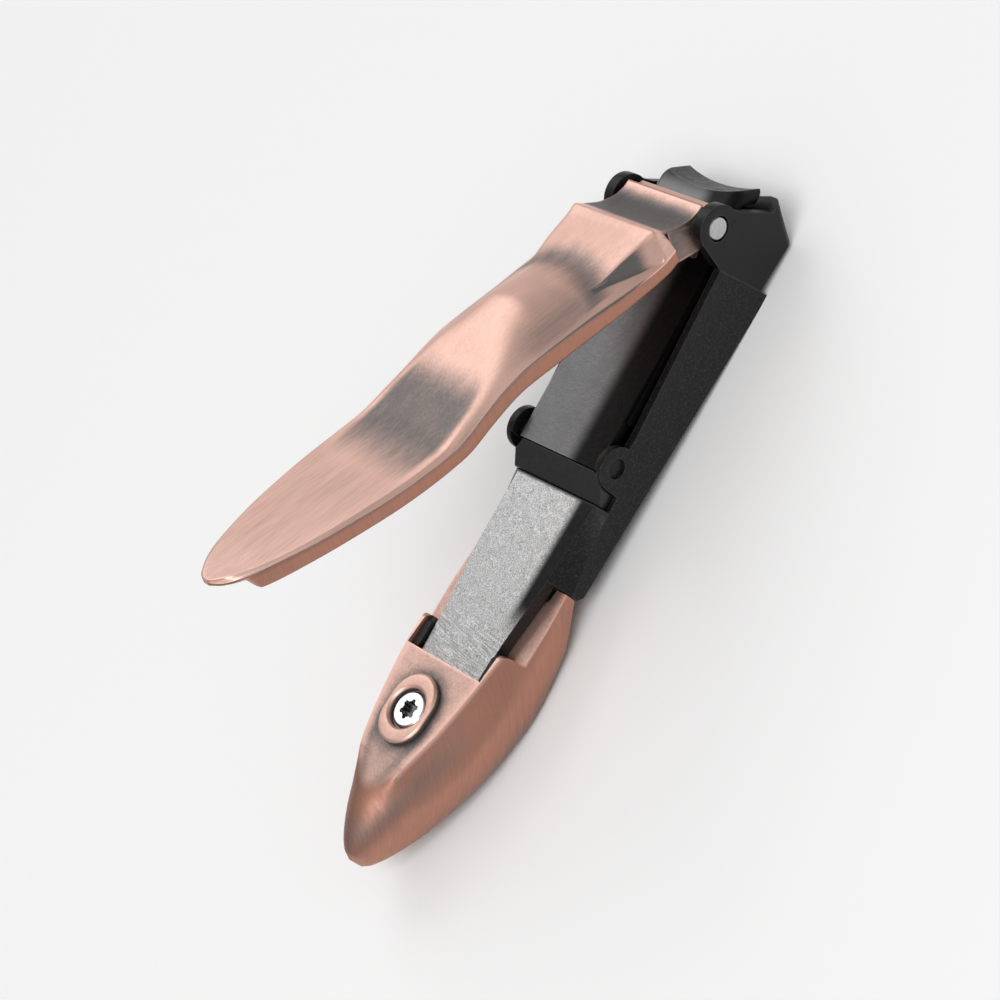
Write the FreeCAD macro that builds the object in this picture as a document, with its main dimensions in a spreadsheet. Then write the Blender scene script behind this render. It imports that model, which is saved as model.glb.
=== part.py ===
import FreeCAD, Part
import math
import os
import re

import Sketcher
from FreeCAD import Placement, Rotation, Vector

# Nail clipper with a raised lever, a catcher housing and a boat-shaped tail cap.
# Design frame: the lever pin's centre is the origin, +X points to the jaws, +Z up, millimetres.
# The housing's underside is level in the design frame. Each piece is then placed by one common
# rest placement, which tips the clipper until its front and its tail cap both touch the floor.

# Each independent size is written once here and becomes one named cell of the sheet.
SIZES = {
    # pose of the whole clipper and of the raised lever
    "rest_tilt": 4.25,
    "rest_shift_x": 36.363,
    "rest_lift": 11.7,
    "lever_raise": 29.0,
    # fits
    "run_gap": 0.04,
    "side_gap": 0.2,
    "seat_gap": 0.02,
    # lever pin and the ears that carry it
    "lever_pin_radius": 1.45,
    "lever_pin_bevel": 0.25,
    "lever_pin_sink": 0.1,
    "ear_radius": 2.7,
    # lower jaw
    "jaw_half": 7.95,
    "jaw_wall": 1.3,
    "jaw_floor_z": -10.7,
    "jaw_floor_thick": 1.4,
    "jaw_toe_x": 4.9,
    "jaw_toe_z": -10.75,
    "jaw_edge_x": 7.3,
    "jaw_edge_z": -5.95,
    "jaw_lip_z": -7.5,
    "jaw_face_lean": 28.0,
    "jaw_land": 2.1,
    "jaw_inner_x": 3.3,
    "jaw_shoulder_x": 3.3,
    "jaw_shoulder_z": -1.9,
    "jaw_arm_half": 4.3,
    "jaw_arm_end_x": -64.8,
    "jaw_arm_thick": 1.2,
    # hollow grind shared by both blades
    "grind_radius": 23.0,
    "grind_depth": 0.85,
    "blade_corner": 1.2,
    "lip_corner": 0.9,
    # upper jaw
    "arm_half": 6.5,
    "arm_nose_half": 6.3,
    "arm_thick": 1.3,
    "arm_rear_x": -28.85,
    "arm_rear_z": -4.7,
    "arm_knee_x": -5.0,
    "arm_flat_z": -3.3,
    "arm_rise_x": 1.0,
    "blade_back_x": 2.6,
    "blade_top_z": -1.4,
    "blade_edge_x": 7.4,
    "blade_edge_z": -4.45,
    "blade_face_lean": 54.0,
    "bend_radius": 2.2,
    "blade_land": 2.0,
    "blade_thick": 1.5,
    "arm_wide_front_x": -4.6,
    "cheek_half": 6.8,
    "cheek_thick": 1.1,
    "cheek_rear_x": -22.7,
    "cheek_rear_z": -5.9,
    "cheek_step_x": -14.2,
    "cheek_step_run": 3.0,
    "cheek_front_z": -7.4,
    "knuckle_front_x": -25.6,
    "knuckle_back_x": -28.7,
    "knuckle_z": -7.7,
    # mid hinge
    "hinge_x": -27.56,
    "hinge_z": -5.9,
    "hinge_ear_radius": 2.5,
    "hinge_head_radius": 1.15,
    "hinge_shank_radius": 0.8,
    "hinge_sink": 0.35,
    # heel bar behind the upper jaw
    "bar_gap": 0.12,
    "bar_half": 7.35,
    "bar_back_x": -31.9,
    "bar_top_z": -4.9,
    "bar_back_z": -7.25,
    "bar_foot_z": -8.3,
    "bar_corner": 1.1,
    # catcher housing
    "shell_half": 8.0,
    "shell_wall": 0.95,
    "shell_foot_z": -12.0,
    "shell_front_top_x": -3.3,
    "shell_front_top_z": -3.5,
    "shell_front_foot_x": -1.75,
    "shell_rim_x": -23.6,
    "shell_rim_z": -5.95,
    "shell_roof_x": -32.0,
    "shell_roof_z": -7.3,
    "shell_roof_half": 6.5,
    "shell_hip_z": -8.45,
    "shell_back_x": -41.8,
    "shell_back_roof_z": -7.5,
    "shell_back_half": 6.2,
    "shell_back_hip_z": -10.2,
    "shell_bevel": 0.7,
    "neck_back_x": -43.5,
    "neck_half": 6.0,
    "neck_top_z": -8.3,
    "neck_foot_z": -11.15,
    "tongue_mid_x": -50.0,
    "tongue_mid_half": 5.3,
    "tongue_end_x": -57.0,
    "tongue_end_half": 4.95,
    "tongue_end_z": -7.75,
    "tongue_thick": 1.5,
    # leaf spring and its rivet
    "leaf_half": 2.4,
    "leaf_thick": 0.45,
    "leaf_back_x": -23.4,
    "leaf_foot_x": -17.0,
    "leaf_tip_x": -7.4,
    "leaf_gap": 0.1,
    "rivet_x": -20.4,
    "rivet_radius": 0.9,
    "rivet_head_radius": 1.6,
    "rivet_head": 0.6,
    # tail cap
    "cap_front_x": -41.95,
    "wing_top_z": -9.35,
    "horn_x": -51.1,
    "horn_round": 1.3,
    "facet_x": -55.0,
    "facet_z": -6.5,
    "facet_rise": 2.6,
    "cavity_half": 6.45,
    "wing_inner_half": 5.75,
    "wing_flare_half": 6.55,
    "aisle_floor_z": -11.9,
    "cavity_floor_z": -13.0,
    "cavity_back_x": -67.5,
    "cavity_back_half": 4.2,
    "cavity_roof": 1.05,
    # liner inside the cap
    "liner_wall": 0.95,
    "liner_floor_z": -12.6,
    "liner_back_x": -63.0,
    "liner_gap": 0.1,
    "liner_top_z": -7.2,
    "liner_low_z": -9.5,
    # screw, its oval ring and the threaded insert
    "screw_x": -61.45,
    "screw_head_radius": 2.2,
    "screw_head": 1.1,
    "screw_dome": 0.25,
    "screw_radius": 1.2,
    "screw_length": 5.4,
    "screw_sink": 0.4,
    "drive_radius": 0.95,
    "drive_lobe": 0.3,
    "drive_depth": 0.8,
    "ring_seat": 0.08,
    "ring_rise": 0.8,
    "ring_end_radius": 3.35,
    "ring_stretch": 0.95,
    "ring_bevel": 0.3,
    "insert_radius": 2.2,
    "insert_length": 3.0,
    # lever head, cam and tail
    "lever_boss_radius": 2.35,
    "lever_head_half": 6.1,
    "lever_lip_x": 0.58,
    "lever_lip_z": 2.53,
    "lever_dip_x": -2.4,
    "lever_dip_z": 1.9,
    "lever_bank_x": -5.3,
    "lever_bank_z": 2.85,
    "lever_throat_x": -7.4,
    "lever_throat_z": -1.7,
    "cam_reach": 3.9,
    "cam_lag": 47.0,
    "cam_radius": 0.45,
    "cam_half": 4.2,
    "tail_step_x": -64.0,
    "tail_step_z": -5.2,
}

# Lever sections across its length, in the lever's own frame: distance behind the pin, then heights
# of the underside, the side crease, the foot of the flank, the top edge and the crown, and the half
# widths at the crease, the flank's foot and the top edge.
LEVER_KEYS = ("at", "under", "crease", "foot", "top", "crown", "half", "foot_half", "top_half")
LEVER_SECTIONS = (
    (6.0, -1.25, 0.95, 2.0, 3.2, 3.2, 7.75, 7.3, 6.6),
    (7.0, -1.5, 0.75, 1.7, 3.69, 3.69, 7.85, 7.4, 6.64),
    (8.3, -1.75, 0.35, 0.5, 3.35, 3.35, 7.95, 7.6, 6.45),
    (12.0, -2.1, 0.0, 0.85, 2.35, 2.35, 8.0, 6.75, 5.95),
    (16.8, -2.55, -0.3, 1.15, 1.3, 1.4, 7.9, 5.65, 5.4),
    (20.5, -2.85, -0.45, 0.8, 1.9, 2.3, 7.6, 6.0, 4.2),
    (25.0, -3.15, -0.7, 0.3, 1.9, 2.3, 7.45, 6.1, 3.8),
    (29.0, -3.4, -1.1, -0.3, 0.6, 0.9, 7.45, 6.4, 5.1),
    (33.0, -4.25, -2.1, -1.5, -1.0, -0.85, 7.5, 6.9, 6.2),
    (37.0, -5.45, -3.35, -2.85, -2.45, -2.35, 7.65, 7.25, 6.85),
    (41.0, -6.35, -4.25, -3.95, -3.7, -3.6, 7.7, 7.35, 7.0),
    (46.0, -6.55, -4.5, -4.2, -4.0, -3.9, 7.55, 7.25, 6.9),
    (52.0, -6.6, -4.55, -4.25, -4.1, -4.0, 6.95, 6.7, 6.35),
    (57.0, -6.8, -4.6, -4.3, -4.18, -4.1, 6.05, 5.8, 5.5),
    (61.5, -7.05, -4.7, -4.4, -4.27, -4.2, 4.75, 4.55, 4.3),
    (64.8, -7.0, -4.8, -4.5, -4.35, -4.3, 3.3, 3.1, 2.85),
    (66.7, -7.2, -4.9, -4.6, -4.45, -4.42, 1.85, 1.7, 1.5),
    (67.4, -7.2, -5.0, -4.75, -4.65, -4.62, 0.7, 0.6, 0.5),
)

# Cap sections along X: station, top half width and height, widest half width and its height,
# bilge half width and its height, keel height.
CAP_KEYS = ("at", "top_half", "top", "wide", "wide_z", "bilge", "bilge_z", "keel")
CAP_SECTIONS = (
    (-41.95, 7.9, -7.6, 8.1, -10.2, 6.7, -12.3, -13.2),
    (-48.0, 7.3, -7.2, 8.75, -11.0, 7.6, -14.3, -14.8),
    (-55.0, 6.6, -6.5, 8.8, -11.4, 7.75, -15.0, -15.4),
    (-61.5, 5.5, -6.2, 8.2, -11.5, 6.95, -15.0, -15.4),
    (-67.0, 3.95, -5.95, 6.65, -11.4, 5.7, -14.8, -15.25),
    (-71.5, 2.25, -6.1, 4.8, -11.4, 4.3, -14.3, -14.7),
    (-75.5, 1.4, -7.5, 3.2, -11.45, 2.6, -13.5, -13.95),
    (-78.2, 0.55, -9.1, 1.6, -11.65, 1.0, -12.6, -12.95),
    (-78.9, 0.2, -10.2, 0.5, -11.65, 0.3, -12.15, -12.4),
)

doc = FreeCAD.newDocument("nail_clipper")
sheet = doc.addObject("Spreadsheet::Sheet", "sizes")


def table_sizes(prefix, keys, rows):
    """Name every value of a section table, such as lever03_half for its third section."""
    return {
        f"{prefix}{number:02d}_{key}": value
        for number, row in enumerate(rows, start=1)
        for key, value in zip(keys, row)
    }


def fill_sheet():
    """Write every size to the sheet as a plain number with its own alias."""
    values = dict(SIZES)
    values.update(table_sizes("lever", LEVER_KEYS, LEVER_SECTIONS))
    values.update(table_sizes("cap", CAP_KEYS, CAP_SECTIONS))
    for row, (name, value) in enumerate(values.items(), start=1):
        sheet.set(f"A{row}", name)
        sheet.set(f"B{row}", repr(value))
        sheet.setAlias(f"B{row}", name)
    doc.recompute()
    return set(values)


NAMES = fill_sheet()


def ex(text):
    """Turn a formula in size names into an expression that reads the sheet."""
    return re.sub(
        r"[a-z][a-z_0-9]*",
        lambda word: f"sizes.{word.group(0)}" if word.group(0) in NAMES else word.group(0),
        str(text),
    )


def val(text):
    """Present value of a formula in size names."""
    result = sheet.evalExpression(ex(text))
    return float(getattr(result, "Value", result))


def rest(turn="0", x="0", z="0"):
    """Placement in the rest pose of a piece that is turned about Y and moved in the design frame."""
    tip = Placement(Vector(val("rest_shift_x"), 0, val("rest_lift")),
                    Rotation(Vector(0, 1, 0), val("rest_tilt")))
    return tip * Placement(Vector(val(x), 0, val(z)), Rotation(Vector(0, 1, 0), val(turn)))


def floor_z(x):
    """Formula for the height of the floor, in the design frame, at a station x."""
    return f"(({x}) * sin(rest_tilt * 1 deg) - rest_lift) / cos(rest_tilt * 1 deg)"


def screw_line_x(z):
    """Formula for the station of the slightly leaning screw axis at a height z."""
    return f"screw_x + (({z}) - facet_z) * tan(facet_rise * 1 deg)"


def new_body(name, placement):
    """A PartDesign body with its label and its placement."""
    body = doc.addObject("PartDesign::Body", name)
    body.Label = name
    body.Placement = placement
    return body


def new_sketch(body, name, role, offset="0"):
    """An empty sketch on one of the body's own origin planes, shifted along the plane's normal."""
    sketch = body.newObject("Sketcher::SketchObject", name)
    plane = next(item for item in body.Origin.OriginFeatures if item.Role == role)
    sketch.AttachmentSupport = (plane, [""])
    sketch.MapMode = "FlatFace"
    sketch.AttachmentOffset = Placement(Vector(0, 0, val(offset)), Rotation())
    sketch.setExpression("AttachmentOffset.Base.z", ex(offset))
    return sketch


def locate(sketch, geometry, vertex, across, along):
    """Tie one sketch point to two formulas measured from the sketch's origin."""
    for kind, formula in (("DistanceX", across), ("DistanceY", along)):
        index = sketch.addConstraint(
            Sketcher.Constraint(kind, -1, 1, geometry, vertex, val(formula)))
        sketch.setExpression(f"Constraints[{index}]", ex(formula))


def polygon(body, name, points, role="XZ_Plane", offset="0"):
    """A closed polygon sketch whose corners are formulas in size names."""
    sketch = new_sketch(body, name, role, offset)
    corners = [Vector(val(across), val(along), 0) for across, along in points]
    count = len(corners)
    for index in range(count):
        sketch.addGeometry(Part.LineSegment(corners[index], corners[(index + 1) % count]), False)
    for index in range(count):
        sketch.addConstraint(
            Sketcher.Constraint("Coincident", index, 2, (index + 1) % count, 1))
    for index, (across, along) in enumerate(points):
        locate(sketch, index, 1, across, along)
    return sketch


def circle(body, name, radius, across="0", along="0", role="XZ_Plane", offset="0"):
    """A circle sketch with its radius and centre as formulas in size names."""
    sketch = new_sketch(body, name, role, offset)
    sketch.addGeometry(
        Part.Circle(Vector(val(across), val(along), 0), Vector(0, 0, 1), val(radius)), False)
    index = sketch.addConstraint(Sketcher.Constraint("Radius", 0, val(radius)))
    sketch.setExpression(f"Constraints[{index}]", ex(radius))
    locate(sketch, 0, 3, across, along)
    return sketch


def extrude(body, kind, name, sketch, length, both_ways=True):
    """A Pad or a Pocket of one sketch, even about its plane unless told otherwise."""
    feature = body.newObject(f"PartDesign::{kind}", name)
    feature.Profile = sketch
    feature.setExpression("Length", ex(length))
    if both_ways:
        feature.SideType = "Symmetric"
    sketch.Visibility = False
    return feature


def loft(body, kind, name, sketches, ruled):
    """An AdditiveLoft or a SubtractiveLoft through a list of sketches."""
    feature = body.newObject(f"PartDesign::{kind}", name)
    feature.Profile = sketches[0]
    feature.Sections = sketches[1:]
    feature.Ruled = ruled
    return feature


def grind(body, name, edge_x, edge_z, turn, normal_x, normal_z):
    """Hollow-grind a blade face with a cylinder whose axis follows the slope of the face."""
    tool = body.newObject("PartDesign::SubtractiveCylinder", name)
    tool.setExpression("Radius", ex("grind_radius"))
    reach = "4 * grind_depth + 2 * jaw_half"
    tool.setExpression("Height", ex(reach))
    offset = val("grind_radius - grind_depth")
    axis = Rotation(Vector(0, 1, 0), val(turn)).multVec(Vector(0, 0, 1))
    centre = Vector(val(edge_x) + offset * val(normal_x), 0, val(edge_z) + offset * val(normal_z))
    tool.Placement = Placement(centre - axis * (val(reach) / 2),
                               Rotation(Vector(0, 1, 0), val(turn)))
    return tool


def bevel(body, name, size, chooser, kind="Chamfer"):
    """Chamfer or fillet the edges of the body's tip for which chooser(edge, its centre) holds."""
    doc.recompute()
    tip = body.Tip
    edges = [f"Edge{number}" for number, edge in enumerate(tip.Shape.Edges, start=1)
             if chooser(edge, edge.CenterOfMass)]
    feature = body.newObject(f"PartDesign::{kind}", name)
    feature.Base = (tip, edges)
    feature.setExpression("Size" if kind == "Chamfer" else "Radius", ex(size))
    return feature


def build_lower_jaw():
    """Steel head with two ears, a hollow-ground front wall, and an arm running back to the cap."""
    body = new_body("lower_jaw", rest())
    lip_x = "jaw_edge_x - (jaw_edge_z - jaw_lip_z) * tan(jaw_face_lean * 1 deg)"
    heel_x = ("shell_front_top_x + (shell_front_foot_x - shell_front_top_x)"
              " * (jaw_floor_z - shell_front_top_z) / (shell_foot_z - shell_front_top_z)")
    side = polygon(body, "jaw_side", [
        ("-ear_radius", "0"), ("shell_front_top_x", "shell_front_top_z"),
        (heel_x, "jaw_floor_z"),
        ("jaw_toe_x", "jaw_toe_z"), (lip_x, "jaw_lip_z"), ("jaw_edge_x", "jaw_edge_z"),
        ("jaw_edge_x - 0.8 * jaw_land", "jaw_edge_z"), ("jaw_shoulder_x", "jaw_shoulder_z"),
        ("0.95 * ear_radius", "0")])
    extrude(body, "Pad", "jaw_block", side, "2 * jaw_half")
    extrude(body, "Pad", "jaw_ears", circle(body, "jaw_ear_round", "ear_radius"), "2 * jaw_half")
    floor_top = "jaw_floor_z + jaw_floor_thick"
    hollow = polygon(body, "jaw_hollow", [
        ("-2 * ear_radius", "2 * ear_radius"), ("-2 * ear_radius", floor_top),
        ("jaw_inner_x", floor_top), ("jaw_edge_x - jaw_land", "jaw_edge_z"),
        ("2 * jaw_edge_x", "jaw_edge_z"), ("2 * jaw_edge_x", "2 * ear_radius")])
    extrude(body, "Pocket", "jaw_channel", hollow, "2 * (jaw_half - jaw_wall)")
    bevel(body, "lip_round", "lip_corner",
          lambda edge, at: abs(abs(at.y) - val("jaw_half")) < 0.01 and at.x > val("jaw_toe_x + 0.95")
          and at.z > val("jaw_lip_z") and len(edge.Vertexes) == 2
          and min(vertex.Z for vertex in edge.Vertexes) < val("jaw_edge_z") - 0.01, "Fillet")
    grind(body, "jaw_grind", "jaw_edge_x", "jaw_edge_z", "jaw_face_lean",
          "cos(jaw_face_lean * 1 deg)", "-sin(jaw_face_lean * 1 deg)")
    arm = polygon(body, "jaw_arm_side", [
        ("0", "jaw_floor_z"), ("jaw_arm_end_x", "jaw_floor_z"),
        ("jaw_arm_end_x", "jaw_floor_z + jaw_arm_thick"),
        ("0", "jaw_floor_z + jaw_arm_thick")])
    extrude(body, "Pad", "jaw_arm", arm, "2 * jaw_arm_half")
    hole = circle(body, "jaw_pin_hole", "lever_pin_radius + seat_gap")
    extrude(body, "Pocket", "jaw_pin_bore", hole, "3 * jaw_half")
    screw_hole = circle(body, "jaw_screw_hole", "screw_radius + side_gap",
                        screw_line_x("jaw_floor_z"), "0", "XY_Plane", "jaw_floor_z")
    extrude(body, "Pocket", "jaw_screw_bore", screw_hole, "4 * jaw_arm_thick")
    rivet_hole = circle(body, "jaw_rivet_hole", "rivet_radius + seat_gap", "rivet_x", "0",
                        "XY_Plane", "jaw_floor_z")
    extrude(body, "Pocket", "jaw_rivet_bore", rivet_hole, "4 * jaw_arm_thick")
    return body


def build_upper_jaw():
    """Steel arm with turned-down cheeks, hinge knuckles and a bent-over, hollow-ground blade."""
    body = new_body("upper_jaw", rest())
    bend_x = "blade_edge_x - (blade_top_z - blade_edge_z) / tan(blade_face_lean * 1 deg)"
    top = [("arm_rear_x", "arm_rear_z"), ("arm_knee_x", "arm_flat_z"),
           ("arm_rise_x", "arm_flat_z"), ("blade_back_x", "blade_top_z"),
           (bend_x, "blade_top_z"), ("blade_edge_x", "blade_edge_z")]
    under = [("blade_edge_x - blade_land", "blade_edge_z"),
             (bend_x + " - 0.6 * blade_thick", "blade_top_z - blade_thick"),
             ("blade_back_x + 0.2 * blade_thick", "blade_top_z - blade_thick"),
             ("arm_rise_x + 0.3 * arm_thick", "arm_flat_z - arm_thick"),
             ("arm_knee_x", "arm_flat_z - arm_thick"),
             ("arm_rear_x", "arm_rear_z - arm_thick")]
    side = polygon(body, "arm_side", top + under)
    extrude(body, "Pad", "arm_plate", side, "2 * arm_nose_half")
    bevel(body, "bend_round", "bend_radius",
          lambda edge, at: abs(at.x - val(bend_x)) < 0.01
          and abs(at.z - val("blade_top_z")) < 0.01, "Fillet")
    bevel(body, "blade_round", "blade_corner",
          lambda edge, at: abs(abs(at.y) - val("arm_nose_half")) < 0.01
          and at.x > val(bend_x) + 0.2
          and at.z > val("blade_edge_z") + 0.5, "Fillet")
    grind(body, "blade_grind", "blade_edge_x", "blade_edge_z", "90 + blade_face_lean",
          "sin(blade_face_lean * 1 deg)", "cos(blade_face_lean * 1 deg)")
    slope = "(arm_flat_z - arm_rear_z) / (arm_knee_x - arm_rear_x)"
    front_z = f"arm_rear_z + ({slope}) * (arm_wide_front_x - arm_rear_x)"
    wide = polygon(body, "arm_wide_side", [
        ("arm_rear_x", "arm_rear_z"), ("arm_wide_front_x", front_z),
        ("arm_wide_front_x", front_z + " - arm_thick"), ("arm_rear_x", "arm_rear_z - arm_thick")])
    extrude(body, "Pad", "arm_wide", wide, "2 * arm_half")

    def plate(x):
        return f"arm_rear_z + ({slope}) * ({x} - arm_rear_x) - 0.3 * arm_thick"

    cheek = polygon(body, "cheek_side", [
        ("cheek_rear_x", plate("cheek_rear_x")), ("cheek_rear_x", "cheek_rear_z"),
        ("cheek_step_x", "cheek_rear_z"), ("cheek_step_x + cheek_step_run", "cheek_front_z"),
        ("arm_wide_front_x", "cheek_front_z"),
        ("arm_wide_front_x", plate("arm_wide_front_x"))])
    extrude(body, "Pad", "cheeks", cheek, "2 * cheek_half")
    knuckle = polygon(body, "knuckle_side", [
        ("knuckle_front_x", plate("knuckle_front_x")), ("knuckle_back_x", plate("knuckle_back_x")),
        ("knuckle_back_x", "knuckle_z"), ("knuckle_front_x", "knuckle_z")])
    extrude(body, "Pad", "knuckles", knuckle, "2 * arm_half")
    inside = polygon(body, "cheek_inside", [
        ("arm_rear_x - 1", "arm_rear_z - arm_thick - 0.01"),
        ("arm_wide_front_x + 1", front_z + " - arm_thick"),
        ("arm_wide_front_x + 1", "2 * knuckle_z"), ("arm_rear_x - 1", "2 * knuckle_z")])
    extrude(body, "Pocket", "cheek_channel", inside, "2 * (arm_half - cheek_thick)")
    bore = circle(body, "knuckle_hole", "hinge_shank_radius + run_gap", "hinge_x", "hinge_z")
    extrude(body, "Pocket", "knuckle_bore", bore, "3 * arm_half")
    return body


def build_lever_pin():
    """Steel cross pin with bevelled ends, pressed into the ears of the lower jaw."""
    body = new_body("lever_pin", rest())
    extrude(body, "Pad", "pin_rod", circle(body, "pin_round", "lever_pin_radius"),
            "2 * (jaw_half - lever_pin_sink)")
    bevel(body, "pin_bevel", "lever_pin_bevel", lambda edge, at: len(edge.Vertexes) == 1)
    return body


def build_hinge_pins():
    """Two stepped hinge pins: the head sits in a housing ear, the shank turns in a knuckle."""
    body = new_body("hinge_pins", rest())
    shank = circle(body, "hinge_shank_round", "hinge_shank_radius", "hinge_x", "hinge_z")
    extrude(body, "Pad", "hinge_shanks", shank, "2 * (shell_half - shell_wall)")
    head = circle(body, "hinge_head_round", "hinge_head_radius", "hinge_x", "hinge_z")
    extrude(body, "Pad", "hinge_heads", head, "2 * (shell_half - hinge_sink)")
    ring = circle(body, "hinge_waist_outer", "3 * hinge_head_radius", "hinge_x", "hinge_z")
    waist = "shell_half - shell_wall - side_gap"
    ring.addGeometry(Part.Circle(Vector(val("hinge_x"), val("hinge_z"), 0), Vector(0, 0, 1),
                                 val("hinge_shank_radius")), False)
    locate(ring, 1, 3, "hinge_x", "hinge_z")
    index = ring.addConstraint(Sketcher.Constraint("Radius", 1, val("hinge_shank_radius")))
    ring.setExpression(f"Constraints[{index}]", ex("hinge_shank_radius"))
    extrude(body, "Pocket", "hinge_waist", ring, f"2 * ({waist})")
    middle = circle(body, "hinge_middle_round", "3 * hinge_head_radius", "hinge_x", "hinge_z")
    extrude(body, "Pocket", "hinge_middle", middle, "2 * (arm_half - cheek_thick)")
    body.AllowCompound = True
    return body


def build_heel_bar():
    """Smooth cross bar behind the upper jaw, sloping down to the roof of the housing."""
    body = new_body("heel_bar", rest())
    front = "arm_rear_x - bar_gap"
    side = polygon(body, "bar_side", [
        (front, "bar_top_z"), ("bar_back_x", "bar_back_z"),
        ("bar_back_x", "bar_foot_z"), (front, "bar_foot_z")])
    extrude(body, "Pad", "bar_block", side, "2 * bar_half")
    front_x = val(front)
    bevel(body, "bar_corners", "bar_corner",
          lambda edge, at: abs(at.x - front_x) < 0.01 and abs(abs(at.y) - val("bar_half")) < 0.01)
    return body


def build_housing():
    """Catcher: walls, floor and hinge ears in front, a crowned closed roof and a tongue behind."""
    body = new_body("catcher_housing", rest())
    side = polygon(body, "shell_side", [
        ("shell_front_top_x", "shell_front_top_z"), ("shell_front_foot_x", "shell_foot_z"),
        ("shell_roof_x", "shell_foot_z"), ("shell_roof_x", "shell_hip_z"),
        ("hinge_x - hinge_ear_radius", "bar_foot_z"),
        ("hinge_x - hinge_ear_radius", "hinge_z"), ("hinge_x", "hinge_z"),
        ("shell_rim_x", "shell_rim_z")])
    extrude(body, "Pad", "shell_front", side, "2 * shell_half")
    ear = circle(body, "shell_ear_round", "hinge_ear_radius", "hinge_x", "hinge_z")
    extrude(body, "Pad", "shell_ears", ear, "2 * shell_half")

    def crown(name, x, half, roof, roof_z, hip_z, foot_z):
        return polygon(body, name, [
            (f"-({half})", foot_z), (half, foot_z), (half, hip_z), (roof, roof_z),
            (f"-({roof})", roof_z), (f"-({half})", hip_z)], "YZ_Plane", x)

    rear = [crown("crown_front", "shell_roof_x", "shell_half", "shell_roof_half",
                  "shell_roof_z", "shell_hip_z", "shell_foot_z"),
            crown("crown_back", "shell_back_x", "shell_half", "shell_back_half",
                  "shell_back_roof_z", "shell_back_hip_z", "shell_foot_z")]
    loft(body, "AdditiveLoft", "shell_rear", rear, True)

    neck = polygon(body, "neck_side", [
        ("shell_back_x + shell_wall", "neck_foot_z"), ("neck_back_x", "neck_foot_z"),
        ("neck_back_x", "neck_top_z"), ("shell_back_x + shell_wall", "neck_top_z")])
    extrude(body, "Pad", "neck_block", neck, "2 * neck_half")

    def strip(name, x, half, top):
        return polygon(body, name, [
            (f"-({half})", f"{top} - tongue_thick"), (half, f"{top} - tongue_thick"),
            (half, top), (f"-({half})", top)], "YZ_Plane", x)

    middle_z = "0.5 * (shell_back_roof_z + tongue_end_z)"
    loft(body, "AdditiveLoft", "tongue_root", [
        strip("tongue_start", "shell_back_x", "shell_back_half", "shell_back_roof_z"),
        strip("tongue_middle", "tongue_mid_x", "tongue_mid_half", middle_z)], True)
    loft(body, "AdditiveLoft", "tongue_tip", [
        strip("tongue_neck", "tongue_mid_x", "tongue_mid_half", middle_z),
        strip("tongue_end", "tongue_end_x", "tongue_end_half", "tongue_end_z")], True)
    floor = "shell_foot_z + shell_wall"
    hollow = polygon(body, "shell_hollow", [
        ("shell_front_foot_x + 3", "2 * ear_radius"), ("shell_front_foot_x + 3", floor),
        ("shell_roof_x + 0.2", floor), ("shell_roof_x + 0.2", "2 * ear_radius")])
    extrude(body, "Pocket", "shell_channel", hollow, "2 * (shell_half - shell_wall)")
    inner = [crown("cavity_front", "shell_roof_x + 0.3", "shell_half - shell_wall",
                   "shell_roof_half - 0.7 * shell_wall", "shell_roof_z - shell_wall",
                   "shell_hip_z - 0.6 * shell_wall", floor),
             crown("cavity_back", "shell_back_x + shell_wall", "shell_half - shell_wall",
                   "shell_back_half - 0.7 * shell_wall", "shell_back_roof_z - shell_wall",
                   "shell_back_hip_z + 0.2 * shell_wall", floor)]
    loft(body, "SubtractiveLoft", "shell_cavity", inner, True)
    slot = polygon(body, "arm_slot", [
        ("-(jaw_arm_half + side_gap)", floor), ("jaw_arm_half + side_gap", floor),
        ("jaw_arm_half + side_gap", "jaw_floor_z + jaw_arm_thick + side_gap"),
        ("-(jaw_arm_half + side_gap)", "jaw_floor_z + jaw_arm_thick + side_gap")],
        "YZ_Plane", "shell_back_x")
    extrude(body, "Pocket", "arm_passage", slot, "4 * shell_wall")
    notch = polygon(body, "bar_notch", [
        ("arm_rear_x - bar_gap", "0"), ("bar_back_x - seat_gap", "0"),
        ("bar_back_x - seat_gap", "bar_foot_z - seat_gap"),
        ("arm_rear_x - bar_gap", "bar_foot_z - seat_gap")])
    extrude(body, "Pocket", "bar_seat", notch, "2 * (bar_half + seat_gap)")
    hole = circle(body, "shell_pin_hole", "hinge_head_radius + seat_gap", "hinge_x", "hinge_z")
    extrude(body, "Pocket", "shell_pin_bore", hole, "3 * shell_half")
    screw_hole = circle(body, "tongue_screw_clear", "screw_head_radius + side_gap", "screw_x", "0",
                        "XY_Plane", "tongue_end_z")
    extrude(body, "Pocket", "tongue_screw_bore", screw_hole, "4 * tongue_thick")
    sole = polygon(body, "shell_sole_side", [
        ("jaw_toe_x", floor_z("jaw_toe_x")), ("neck_back_x", floor_z("neck_back_x")),
        ("neck_back_x", "2 * shell_foot_z"), ("jaw_toe_x", "2 * shell_foot_z")])
    extrude(body, "Pocket", "shell_sole", sole, "3 * shell_half")
    bevel(body, "shell_corners", "shell_bevel",
          lambda edge, at: abs(at.x - val("shell_back_x")) < 0.01
          and abs(at.z - val("shell_foot_z")) < 0.01)
    return body


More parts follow.
